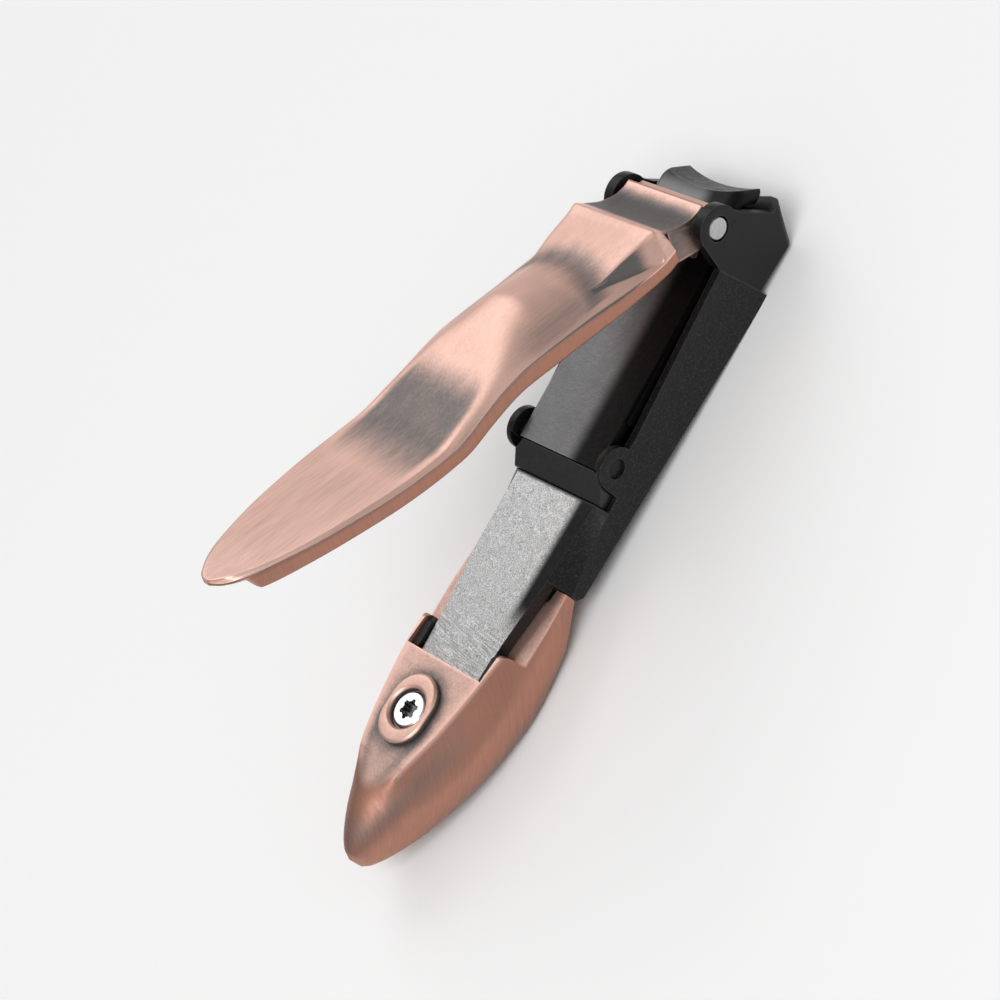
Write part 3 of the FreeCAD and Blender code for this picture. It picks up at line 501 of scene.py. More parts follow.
def speckle_group() -> bpy.types.NodeTree:
    """Glitter: the few brightest cells of a fine Voronoi, and a grain for the bump.

    Returns:
        The shader group.
    """
    tree, make, inner, outer = new_group(
        "glitter", {"Vector": ("NodeSocketVector", None), "Share": ("NodeSocketFloat", 0.2)},
        {"Sparkle": "NodeSocketFloat", "Grain": "NodeSocketFloat"})
    cells = make.add("ShaderNodeTexVoronoi")
    make.feed(cells.inputs["Vector"], inner["Vector"])
    cells.inputs["Scale"].default_value = 9000.0
    hue = make.add("ShaderNodeSeparateColor")
    make.feed(hue.inputs[0], cells.outputs["Color"])
    edge = make.math("SUBTRACT", 1.0, inner["Share"])
    pick = make.math("SUBTRACT", hue.outputs[0], edge)
    make.feed(outer["Sparkle"], make.math("DIVIDE", pick, inner["Share"], clamp=True))
    make.feed(outer["Grain"], make.noise(inner["Vector"], 3800.0, 2.0, 0.7))
    return tree


# ---------------------------------------------------------------- finishes


GRAIN_TURN = {
    Grain.LENGTH: (0.0, -BODY_TILT, 0.0),
    Grain.LEVER: (0.0, -LEVER_RAISE, 0.0),
    Grain.DIAGONAL: (18.0, 32.0, 0.0),
    Grain.CAP: (0.0, -48.0, 0.0),
    Grain.NONE: (0.0, 0.0, 0.0),
}


@dataclass(frozen=True)
class Workshop:
    """The shader groups that several finishes share."""

    brush: bpy.types.NodeTree
    wear: bpy.types.NodeTree
    glitter: bpy.types.NodeTree


@dataclass(frozen=True)
class Plane:
    """A level across a slanted piece: the axis it is measured along and its highest point."""

    axis: Triple
    top: float
    centre: Triple

    @classmethod
    def over(cls, node: str, lean_deg: float) -> "Plane":
        """The level of a CAD node's highest point along an axis that leans forward.

        Args:
            node: Name of the CAD node.
            lean_deg: How far the axis leans from upright.

        Returns:
            The level.
        """
        axis = leaning(lean_deg)[1]
        highest = float((points_of(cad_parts[node].data) @ axis).max())
        return cls(tuple(axis.tolist()), highest, tuple(centre_of(node).tolist()))

    def depth(self, make: Nodes, spot: object) -> bpy.types.NodeSocket:
        """How far a spot lies under the level, in metres."""
        return make.math("SUBTRACT", self.top, make.dot(spot, self.axis))

    def radius(self, make: Nodes, spot: object) -> bpy.types.NodeSocket:
        """How far a spot lies from the axis: the length of its offset crossed with the axis.

        Args:
            make: Node maker of the material.
            spot: The place, from a socket.

        Returns:
            The distance in metres.
        """
        offset = make.add("ShaderNodeVectorMath", operation="SUBTRACT")
        make.feed(offset.inputs[0], spot)
        offset.inputs[1].default_value = self.centre
        cross = make.add("ShaderNodeVectorMath", operation="CROSS_PRODUCT")
        make.feed(cross.inputs[0], offset.outputs[0])
        cross.inputs[1].default_value = self.axis
        length = make.add("ShaderNodeVectorMath", operation="LENGTH")
        make.feed(length.inputs[0], cross.outputs[0])
        return length.outputs["Value"]


@dataclass(frozen=True)
class Finish:
    """Base of every finish: opens a material and gives it a Principled shader."""

    name: str

    def begin(self) -> tuple[bpy.types.Material, Nodes, bpy.types.Node]:
        """Make the material.

        Returns:
            The material, its node maker and its Principled node.
        """
        material = bpy.data.materials.new(self.name)
        material.use_nodes = True
        make = Nodes(material.node_tree)
        return material, make, material.node_tree.nodes["Principled BSDF"]

    @staticmethod
    def place(make: Nodes, group: bpy.types.NodeTree, **values: object) -> bpy.types.Node:
        """Put a shader group in the material.

        Args:
            make: Node maker of the material.
            group: The shader group.
            values: Value or socket for each of its inputs, by name.

        Returns:
            The group's node.
        """
        node = make.add("ShaderNodeGroup", node_tree=group)
        for label, value in values.items():
            make.feed(node.inputs[label], value)
        return node

    @staticmethod
    def emboss(make: Nodes, shader: bpy.types.Node, height: object, strength: float,
               distance: float) -> None:
        """Feed a height to the shader's normal through a Bump node.

        Args:
            make: Node maker of the material.
            shader: The Principled node.
            height: The height, from a socket.
            strength: How strongly it shows, from 0 to 1.
            distance: How far the relief stands out, in metres.
        """
        bump = make.add("ShaderNodeBump")
        bump.inputs["Strength"].default_value = strength
        bump.inputs["Distance"].default_value = distance
        make.feed(bump.inputs["Height"], height)
        make.feed(shader.inputs["Normal"], bump.outputs[0])


@dataclass(frozen=True)
class AntiqueCopper(Finish):
    """Brushed copper plating with dark patina left in the hollows and rubbed off the edges,
    painted shade as a darker copper on the side walls, and painted shade mixed in with the patina.
    """

    grain: Grain = Grain.LEVER
    copper: Colour = (0.90, 0.585, 0.49)
    # Painted shade: the darker copper of the side walls, which face away from the light.
    shade: Colour = (0.56, 0.27, 0.19)
    # The dark colour of the patina, used also for the painted shade stored with it.
    patina_and_shade: Colour = (0.185, 0.178, 0.176)
    tarnish: float = 0.25
    # Level under which the ring's sides get painted shade.
    sunk: Plane | None = None
    roughness: float = 0.45
    painted: bool = True
    streak: float = 0.08
    grit: float = 0.17
    drift: float = 0.08
    rubbed: float = 0.45

    def make(self, shop: Workshop) -> bpy.types.Material:
        """Build the material.

        Args:
            shop: The shared shader groups.

        Returns:
            The finished material.
        """
        material, make, shader = self.begin()
        spot = make.add("ShaderNodeTexCoord").outputs["Object"]
        turn = GRAIN_TURN[self.grain]
        pull = (220, 7000, 7000) if self.grain is Grain.LEVER else (2600, 3400, 3400)
        along = self.place(make, shop.brush, Vector=make.stretch(spot, turn, pull))
        across = self.place(make, shop.brush, Vector=make.stretch(spot, turn, (5200, 1500, 320)))
        wear = self.place(make, shop.wear, Radius=0.0007, Reach=0.22)
        if self.painted:
            wall = make.add("ShaderNodeAttribute", attribute_name="wall").outputs["Fac"]
            dark = make.add("ShaderNodeAttribute", attribute_name="patina_and_shade").outputs["Fac"]
        else:
            wall, dark = 0.0, self.tarnish
        # Painted shade: below the ring's top, its sides darken towards the patina colour.
        if self.sunk:
            depth = self.sunk.depth(make, spot)
            dark = make.math("ADD", dark, make.span(depth, 0.14 * MM, 0.42 * MM, 0.0, 0.95))
        fine, broad = (make.between(wall, along.outputs[mark], across.outputs[mark])
                       for mark in ("Fine", "Broad"))
        cloud = make.noise(spot, 90.0, 1.0)
        # Dark share: patina and painted shade, with broad streaks, grit and drift over them.
        dark_share = make.math("ADD", dark, make.sway(broad, self.streak))
        dark_share = make.math("ADD", dark_share, make.math("ADD", make.sway(fine, self.grit),
                                                make.sway(cloud, self.drift)))
        rubbed = make.math("MULTIPLY", wear.outputs["Mask"], self.rubbed)
        dark_share = make.math("SUBTRACT", dark_share, rubbed)
        dark_share = make.span(dark_share, -0.1, 1.0)
        # Painted shade: where the wall attribute is set, the side walls take the darker shade
        # copper.
        metal = make.blend(wall, self.copper, self.shade)
        colour = make.blend(dark_share, metal, self.patina_and_shade)
        make.feed(shader.inputs["Base Color"], colour)
        shader.inputs["Metallic"].default_value = 1.0
        rough = make.math("MULTIPLY_ADD", fine, 0.08, self.roughness - 0.02)
        rough = make.math("ADD", rough, make.math("MULTIPLY", dark_share, 0.10))
        make.feed(shader.inputs["Roughness"], rough)
        self.emboss(make, shader, fine, 0.07, 0.00002)
        return material


@dataclass(frozen=True)
class CoatedMetal(Finish):
    """Plain steel or a thin coating on it, with grain, sparkle and rubbed edges."""

    body: Colour = (0.02, 0.02, 0.022)
    edge: Colour = (0.30, 0.30, 0.31)
    sparkle: Colour = (0.5, 0.5, 0.5)
    share: float = 0.0
    metallic: float = 0.0
    roughness: float = 0.42
    rub: float = 0.35
    grain_depth: float = 0.08
    mottle: float = 0.25
    # Painted sheen: the light colour of the shell's upward faces behind top_ahead_of.
    top: Colour | None = None
    top_ahead_of: float = 0.0
    # Painted shade: the level under which the screw's socket is darkened.
    socket: Plane | None = None
    specular: float = 0.5
    # Painted reflection and shade: a black band across y between the first two values and along x
    # between the last two, in millimetres.
    dark_reflection_band: tuple[float, float, float, float] | None = None
    # Painted shade: the darker colour of the jaw's front, under the lever's head.
    face: Colour | None = None
    face_from: float = 0.0
    grain: Grain = Grain.NONE

    def make(self, shop: Workshop) -> bpy.types.Material:
        """Build the material: the coating, then the painted shade, painted reflection and painted
        sheen over it.

        Args:
            shop: The shared shader groups.

        Returns:
            The finished material.
        """
        material, make, shader = self.begin()
        spot = make.add("ShaderNodeTexCoord").outputs["Object"]
        pull = (1500, 1500, 1500) if self.grain is Grain.NONE else (420, 4200, 4200)
        marks = self.place(make, shop.brush,
                           Vector=make.stretch(spot, GRAIN_TURN[self.grain], pull))
        glitter = self.place(make, shop.glitter, Vector=spot, Share=max(self.share, 0.02))
        fine = marks.outputs["Fine"]
        shaded = self.coating(make, shop, spot, fine, glitter.outputs["Sparkle"])
        metallic: object = self.metallic
        if self.face or self.dark_reflection_band or self.top:
            x, y, _ = make.axes(spot)
        # Painted shade over the jaw's front, where the lever's head shades it.
        if self.face:
            front = make.span(x, self.face_from, self.face_from + 2.0 * MM)
            shaded = make.blend(front, shaded, self.face)
        # Mask of the black band of painted reflection and shade.
        if self.dark_reflection_band:
            inner, outer, back, ahead = (value * MM for value in self.dark_reflection_band)
            roll = make.math("MULTIPLY", make.span(y, inner, outer), make.span(x, back, ahead))
        if self.dark_reflection_band and not self.top:
            shaded = make.blend(roll, shaded, (0.008, 0.008, 0.008))
        # Painted shade down in the screw's socket.
        if self.socket:
            deep = make.span(self.socket.depth(make, spot), 0.10 * MM, 0.22 * MM)
            near = make.span(self.socket.radius(make, spot), 1.5 * MM, 1.3 * MM)
            shaded = make.blend(make.math("MULTIPLY", deep, near), shaded, (0.13, 0.13, 0.13))
        # Painted sheen: upward faces behind the heel bar turn light and metallic, over real flecks
        # and lines.
        if self.top:
            flecks_and_sheen = self.flecks_and_sheen(make, spot, x)
            # The black band of painted reflection and shade also covers the top's painted sheen.
            if self.dark_reflection_band:
                flecks_and_sheen = make.blend(roll, flecks_and_sheen, (0.02, 0.02, 0.02))
            upright = make.axes(make.add("ShaderNodeNewGeometry").outputs["Normal"])[2]
            behind = make.span(x, self.top_ahead_of, self.top_ahead_of - 0.5 * MM)
            upper = make.math("MULTIPLY", behind, make.span(upright, 0.9, 0.985))
            shaded = make.blend(upper, shaded, flecks_and_sheen)
            metallic = make.math("MAXIMUM", upper, self.metallic)
        make.feed(shader.inputs["Base Color"], shaded)
        make.feed(shader.inputs["Metallic"], metallic)
        make.feed(shader.inputs["Roughness"], make.sway(fine, 0.16, self.roughness))
        shader.inputs["Specular IOR Level"].default_value = self.specular
        height = make.math("ADD", glitter.outputs["Grain"], make.math("MULTIPLY", fine, 0.5))
        self.emboss(make, shader, height, self.grain_depth, 0.00003)
        return material

    def coating(self, make: Nodes, shop: Workshop, spot: object, fine: object,
                sparkle: object) -> bpy.types.NodeSocket:
        """The coating's colour: mottled and brushed, with glitter and rubbed edges.

        Args:
            make: Node maker of the material.
            shop: The shared shader groups.
            spot: The place on the piece.
            fine: The fine brush marks.
            sparkle: The glitter's mask.

        Returns:
            The colour.
        """
        wear = self.place(make, shop.wear, Radius=0.00028, Reach=0.30)
        cloud = make.noise(spot, 240.0, 3.0, 0.6)
        tone = make.math("MULTIPLY", make.sway(cloud, self.mottle, 1.0),
                         make.sway(fine, 0.24, 1.0))
        shaded = make.blend(1.0, self.body, make.grey(tone), "MULTIPLY")
        if self.share:
            shaded = make.blend(sparkle, shaded, self.sparkle)
        rubbed = make.math("MULTIPLY", wear.outputs["Mask"], self.rub)
        return make.blend(rubbed, shaded, self.edge)

    def flecks_and_sheen(self, make: Nodes, spot: object, x: object) -> bpy.types.NodeSocket:
        """The top's painted sheen: a light grey with flecks all over it, and fine lines that fade
        in behind the cap's front.

        Args:
            make: Node maker of the material.
            spot: The place on the piece.
            x: Its distance along the clipper.

        Returns:
            The colour.
        """
        lines = make.noise(make.stretch(spot, (0, -BODY_TILT, 8.0), (7000, 420, 3000)), 1.0, 2.0)
        cap_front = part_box("tail_cap")[1].x
        near_cap = make.span(x, cap_front - 5.5 * MM, cap_front - 9.0 * MM)
        fleck_tone = make.span(make.noise(spot, 7000.0, 1.0, 0.5), 0.25, 0.75, 0.62, 1.38)
        line_tone = make.math("SUBTRACT", make.span(lines, 0.3, 0.7, 0.72, 1.28), 1.0)
        line_tone = make.math("MULTIPLY_ADD", line_tone, near_cap, 1.0)
        tone = make.math("MULTIPLY", fleck_tone, line_tone)
        return make.blend(1.0, self.top, make.grey(tone), "MULTIPLY")


# ---------------------------------------------------------------- sub-assemblies


@dataclass(frozen=True)
class LeverCasting:
    """The sculpted lever: saddle and neck over the pin, facet, gouges, tongue, waist and tail.

    Each curve gives a height or a half width in millimetres against the distance behind the pin.
    """

    raise_deg: float = LEVER_RAISE
    lip: float = -0.58
    start: float = 5.7
    saddle_end: float = 7.0
    tip: float = 67.4
    pitch: float = 0.25
    fine_pitch: float = 0.13
    # Cells between each two corners of the half section, from the underside's middle up.
    runs: tuple[int, ...] = (6, 3, 8, 2, 2, 9, 14, 8, 6)
    front_lean: float = 0.147
    rim: float = 0.5
    neck_half: float = 5.55
    neck_depth: float = 2.1
    saddle: Curve = ((-0.58, 2.53), (0.4, 2.1), (1.8, 1.86), (3.6, 2.1), (5.5, 2.9), (7.0, 3.69))
    saddle_half: Curve = ((-0.58, 6.05), (3.0, 6.15), (5.5, 6.4), (7.0, 6.64))
    under: Curve = ((5.7, -1.14), (8.0, -1.65), (13.0, -2.15), (21.7, -3.0), (28.5, -3.4),
                    (33.8, -4.7), (38.4, -6.0), (45.0, -6.55), (57.0, -6.85), (63.6, -7.12),
                    (64.3, -5.62), (67.4, -5.3))
    wall: Curve = ((5.7, 7.7), (8.3, 7.95), (13.4, 8.0), (20.5, 7.6), (27.5, 7.5), (31.8, 7.43),
                   (35.2, 7.58), (39.1, 7.75), (46.0, 7.55), (54.9, 6.45), (61.2, 4.85),
                   (65.0, 3.25), (66.7, 1.9), (67.2, 1.1), (67.4, 0.5))
    crease: Curve = ((5.7, 0.75), (8.3, 0.28), (13.4, -0.15), (20.5, -0.45), (27.5, -0.85),
                     (31.8, -1.75), (35.2, -2.85), (39.1, -4.0), (46.0, -4.47), (54.9, -4.62),
                     (61.2, -4.75), (65.0, -4.98), (67.4, -5.05))
    foot_half: Curve = ((5.7, 7.45), (7.5, 7.5), (8.1, 7.72), (8.7, 7.5), (12.0, 6.63),
                        (16.5, 5.5), (20.5, 6.1), (25.0, 6.35), (29.0, 6.7), (33.0, 7.05),
                        (37.0, 7.35), (41.0, 7.5), (46.0, 7.38), (54.9, 6.28), (61.2, 4.68),
                        (65.0, 3.08), (67.4, 0.42))
    foot: Curve = ((5.7, 1.4), (7.5, 1.45), (8.1, 0.42), (12.0, 0.77), (16.5, 1.18),
                   (20.5, 0.55), (25.0, 0.05), (29.0, -0.55), (33.0, -1.75), (37.0, -3.0),
                   (41.0, -3.95), (46.0, -4.2), (54.9, -4.36), (61.2, -4.5), (65.0, -4.66),
                   (67.4, -4.85))
    top_half: Curve = ((7.0, 6.64), (16.5, 5.42), (18.5, 4.9), (20.5, 4.1),
                       (23.0, 3.5), (25.5, 3.9), (29.0, 5.0), (33.0, 6.1), (37.0, 6.85),
                       (41.0, 7.05), (46.0, 6.95), (50.5, 6.6), (55.1, 5.9), (58.4, 5.25),
                       (61.4, 4.35), (63.6, 3.4), (65.5, 2.3), (67.0, 1.0), (67.4, 0.25))
    top: Curve = ((7.0, 3.66), (12.0, 2.42), (16.5, 1.24), (18.5, 1.4), (20.5, 1.95),
                  (23.0, 2.35), (25.5, 1.75), (29.0, 0.6), (33.0, -1.05), (37.0, -2.5),
                  (41.0, -3.68), (46.0, -3.98), (50.5, -4.04), (55.1, -4.2), (58.4, -4.26),
                  (61.4, -4.34), (65.5, -4.45), (67.4, -4.62))
    ridge_half: Curve = ((-0.58, 3.2), (12.0, 3.2), (18.0, 2.6), (23.0, 2.1), (26.0, 2.2),
                         (31.0, 3.2), (40.0, 3.8), (50.0, 3.5), (60.0, 2.4), (67.4, 0.12))
    ridge: Curve = ((7.0, 3.69), (12.0, 2.78), (15.3, 2.2), (18.0, 2.6), (20.5, 2.92),
                    (23.0, 2.95), (25.5, 2.25), (28.1, 1.2), (31.5, -0.42), (35.6, -1.9),
                    (39.6, -3.34), (46.0, -3.95), (55.0, -4.14), (61.4, -4.28), (67.4, -4.6))
    crown: Curve = ((7.0, 3.69), (12.0, 2.86), (15.3, 2.34), (18.0, 2.74),
                    (20.5, 3.05), (22.8, 3.05), (25.5, 2.35), (28.1, 1.3), (31.5, -0.35),
                    (35.6, -1.86), (39.6, -3.3), (46.0, -3.93), (55.0, -4.12), (61.4, -4.26),
                    (67.4, -4.58))

    # Patina, and painted shade on the shoulders, over distances behind the pin.
    saddle_dark: Stretch = (0.90, -0.3, 2.2, 5.9, 6.95)
    shoulder_shade: Stretch = (0.46, 15.0, 19.0, 24.0, 30.0)
    gouge_dark: Stretch = (1.1, 8.4, 11.5, 16.3, 16.8)
    waist_dark: Stretch = (0.80, 30.0, 36.0, 39.5, 50.0)

    def fold_at(self, corner: int) -> int:
        """Number of the vertex at a corner of the half section, from the underside's middle."""
        return sum(self.runs[:corner])

    def corners(self, s: np.ndarray) -> np.ndarray:
        """Corner points of the half section at each station, from the underside to the crown.

        Args:
            s: Distances behind the pin.

        Returns:
            Array of stations x corners x (half width, height).
        """
        low, wall, crease = (flowing(c, s) for c in (self.under, self.wall, self.crease))
        top_half = kinked(self.saddle_half, self.top_half, s)
        top, ridge, crown = (kinked(self.saddle, c, s) for c in (self.top, self.ridge, self.crown))
        zero = np.zeros_like(s)
        lip = np.minimum(0.13, wall * 0.2) * swell(s, 9.0, 12.0)
        pairs = [
            (zero, low), (wall * 0.9 - 0.25 * (wall > 1), low), (wall - 0.02, low + 0.42),
            (wall, crease - 0.16), (wall - lip, crease - 0.05), (wall - 0.4 * lip, crease + 0.1),
            (flowing(self.foot_half, s), flowing(self.foot, s)),
            (top_half, top), (flowing(self.ridge_half, s), ridge), (zero, crown),
        ]
        wide = np.stack([np.stack(pair, -1) for pair in pairs], 1)
        inner, deep = np.full_like(s, self.neck_half), top - self.neck_depth
        shelf = top - self.rim
        pairs = [
            (zero, deep), (0.8 * inner, deep), (inner, deep + 0.3), (inner, shelf - 0.25),
            (inner + 0.1, shelf - 0.1), (0.5 * (inner + top_half), shelf - 0.02),
            (top_half - 0.05, shelf), (top_half, top), (flowing(self.ridge_half, s), ridge),
            (zero, crown),
        ]
        neck = np.stack([np.stack(pair, -1) for pair in pairs], 1)
        return np.where((s < self.start)[:, None, None], neck, wide)

    def build(self) -> bpy.types.Object:
        """Make the casting: straight runs between the corners, mirrored, then rounded off.

        Returns:
            The lever casting, riding on the lever.
        """
        s = np.concatenate([
            np.arange(self.lip, self.start - 0.02, self.pitch), [self.start - 0.01],
            np.arange(self.start, self.saddle_end, self.fine_pitch),
            np.arange(self.saddle_end, self.tip, self.pitch), [self.tip]])
        corners = self.corners(s)
        parts = []
        for index, run in enumerate(self.runs):
            share = np.linspace(0, 1, run, endpoint=False)[None, :, None]
            first, last = corners[:, index, None], corners[:, index + 1, None]
            parts.append(first * (1 - share) + last * share)
        half = np.concatenate(parts + [corners[:, -1:]], 1)
        other = half[:, -2:0:-1] * np.array([-1.0, 1.0])
        ring = np.concatenate([half, other], 1)
        side, height = ring[..., 0], ring[..., 1]
        fade = np.clip(1 - (s - self.start) / 3.0, 0, 1)[:, None]
        behind = s[:, None] + self.front_lean * (height + 1.14) * fade
        grid = np.stack([behind, side, height], -1)
        grid = relax(grid, 2, 1, True)
        grid = relax(grid, 1, 0, False)
        order = np.arange(ring.shape[1])
        fold = np.minimum(order, ring.shape[1] - order)
        crest = swell(fold.astype(float), self.fold_at(6), self.fold_at(7) - 4)
        zone = stretch_of(s, (1.0, 17.0, 20.5, 34.0, 41.0))[:, None] * crest[None, :]
        grid += (relax(grid, 60, 1, True) - grid) * zone[..., None]
        piece = ring_mesh("lever_casting", posed(self.raise_deg, grid[..., 0], grid[..., 1],
                                                grid[..., 2]))
        fold = np.tile(fold, len(s))
        ends = np.zeros(2)
        dark = self.patina_and_shade(grid[..., 0].ravel(), grid[..., 1].ravel(), fold)
        # The wall attribute marks the side walls: grain across them, and the darker copper of
        # painted shade.
        paint(piece, "wall", np.concatenate([(fold < self.fold_at(4)).astype(float), ends]))
        paint(piece, "patina_and_shade", np.concatenate([dark, ends]))
        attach(piece, Body.LEVER.value)
        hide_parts("lever")
        LOG.info("lever casting: %d vertices", len(piece.data.vertices))
        return piece

    def patina_and_shade(self, s: np.ndarray, side: np.ndarray, fold: np.ndarray) -> np.ndarray:
        """How dark the patina and the painted shade are: the darkest of the places where they lie.

        Args:
            s: Distance behind the pin of each vertex.
            side: Distance from the middle plane.
            fold: Number of the vertex counted from the underside's middle.

        Returns:
            Share of patina and painted shade from 0 to 1 for each vertex.
        """
        wall, crease, foot, edge = (self.fold_at(corner) for corner in (4, 5, 6, 7))
        out = np.abs(side)
        # Painted shade: a dark band in the valley behind the hump.
        valley = 14.6 + 0.9 * (out / 4.0) ** 2
        band = 0.66 * hump(s, valley, 2.3) * (out < 7)
        saddle = stretch_of(s, self.saddle_dark) * (out < 7)
        # Painted shade: the tongue's shoulders, sloping away to the sides, are darkened.
        shoulder = stretch_of(s, self.shoulder_shade) * swell(out, 2.2, 6.4)
        shoulder *= 1 - 0.6 * hump(out, 7.4, 0.5)
        gouge = stretch_of(s, self.gouge_dark) * ((fold >= foot - 1) & (fold < edge))
        waist = stretch_of(s, self.waist_dark)
        waist *= 1 - 0.85 * swell(out - flowing(self.top_half, s), -1.3, -0.2)
        tail = (0.17 + 0.08 * hump(out, 0, 5.0) * swell(s, 44.0, 50.0)) * swell(s, 42.0, 48.0)
        line = 0.85 * ((fold >= wall) & (fold <= crease)) * swell(s, 9.0, 13.0)
        flank = 0.10 + 0.08 * swell(s, 24.0, 34.0)
        neck = 0.75 * (s < self.start) * (fold < foot)
        top = np.maximum.reduce([band, saddle, shoulder, gouge, waist, tail,
                                 np.full_like(s, 0.08)])
        return np.maximum.reduce([np.where(fold < wall, flank, top), line, neck])


@dataclass(frozen=True)
class LeverHead:
    """The lever's head round the pin: boss and cam, cut from the lever's own solid.

    What stands higher than crown over the pin is lowered by up to sunk, under the casting.
    """

    raise_deg: float = LEVER_RAISE
    cut_behind: float = 5.45
    crown: float = 1.3
    sunk: float = 0.6
    edge_round: float = 0.28

    def build(self) -> bpy.types.Object:
        """Copy the lever, keep what lies in front of the cut, round its edges and dress it.

        Returns:
            The head, riding on the lever.
        """
        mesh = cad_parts["lever"].data.copy()
        shape = bmesh.new()
        shape.from_mesh(mesh)
        bmesh.ops.remove_doubles(shape, verts=shape.verts, dist=SAME_POINT)
        low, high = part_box("lever_pin")
        centre = (Vector(low) + Vector(high)) / 2
        back, up = (Vector(way) for way in leaning(self.raise_deg))
        cut = bmesh.ops.bisect_plane(
            shape, geom=shape.verts[:] + shape.edges[:] + shape.faces[:],
            plane_co=centre + back * self.cut_behind * MM, plane_no=back, clear_outer=True)
        rim = [item for item in cut["geom_cut"] if isinstance(item, bmesh.types.BMEdge)]
        bmesh.ops.holes_fill(shape, edges=rim, sides=0)
        # One by one on the open mesh, not as arrays, so that the head stays closed after the next
        # step.
        for vertex in shape.verts:
            over = (vertex.co - centre).dot(up) - self.crown * MM
            if over > 0:
                vertex.co -= up * min(over, self.sunk * MM)
        bmesh.ops.dissolve_limit(shape, angle_limit=math.radians(0.5), verts=shape.verts,
                                 edges=shape.edges)
        shape.to_mesh(mesh)
        shape.free()
        mesh.materials.clear()
        mesh.polygons.foreach_set("use_smooth", np.ones(len(mesh.polygons), bool))
        piece = bpy.data.objects.new("lever_head", mesh)
        bpy.context.scene.collection.objects.link(piece)
        self.colour(piece, centre, back)
        soften(piece, self.edge_round)
        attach(piece, Body.LEVER.value)
        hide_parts("lever")
        LOG.info("lever head: %d vertices", len(mesh.vertices))
        return piece

    @staticmethod
    def colour(piece: bpy.types.Object, centre: Vector, back: Vector) -> None:
        """Darken the head's top behind the pin and leave the rest nearly clean.

        Args:
            piece: The head.
            centre: Middle of the pin in metres.
            back: Direction back along the lever.
        """
        behind = (points_of(piece.data) - np.array(centre)) / MM @ np.array(back)
        paint(piece, "wall", np.zeros(len(behind)))
        paint(piece, "patina_and_shade", stretch_of(behind, (0.75, 0.0, 2.4, 5.6, 6.9)) + 0.1)


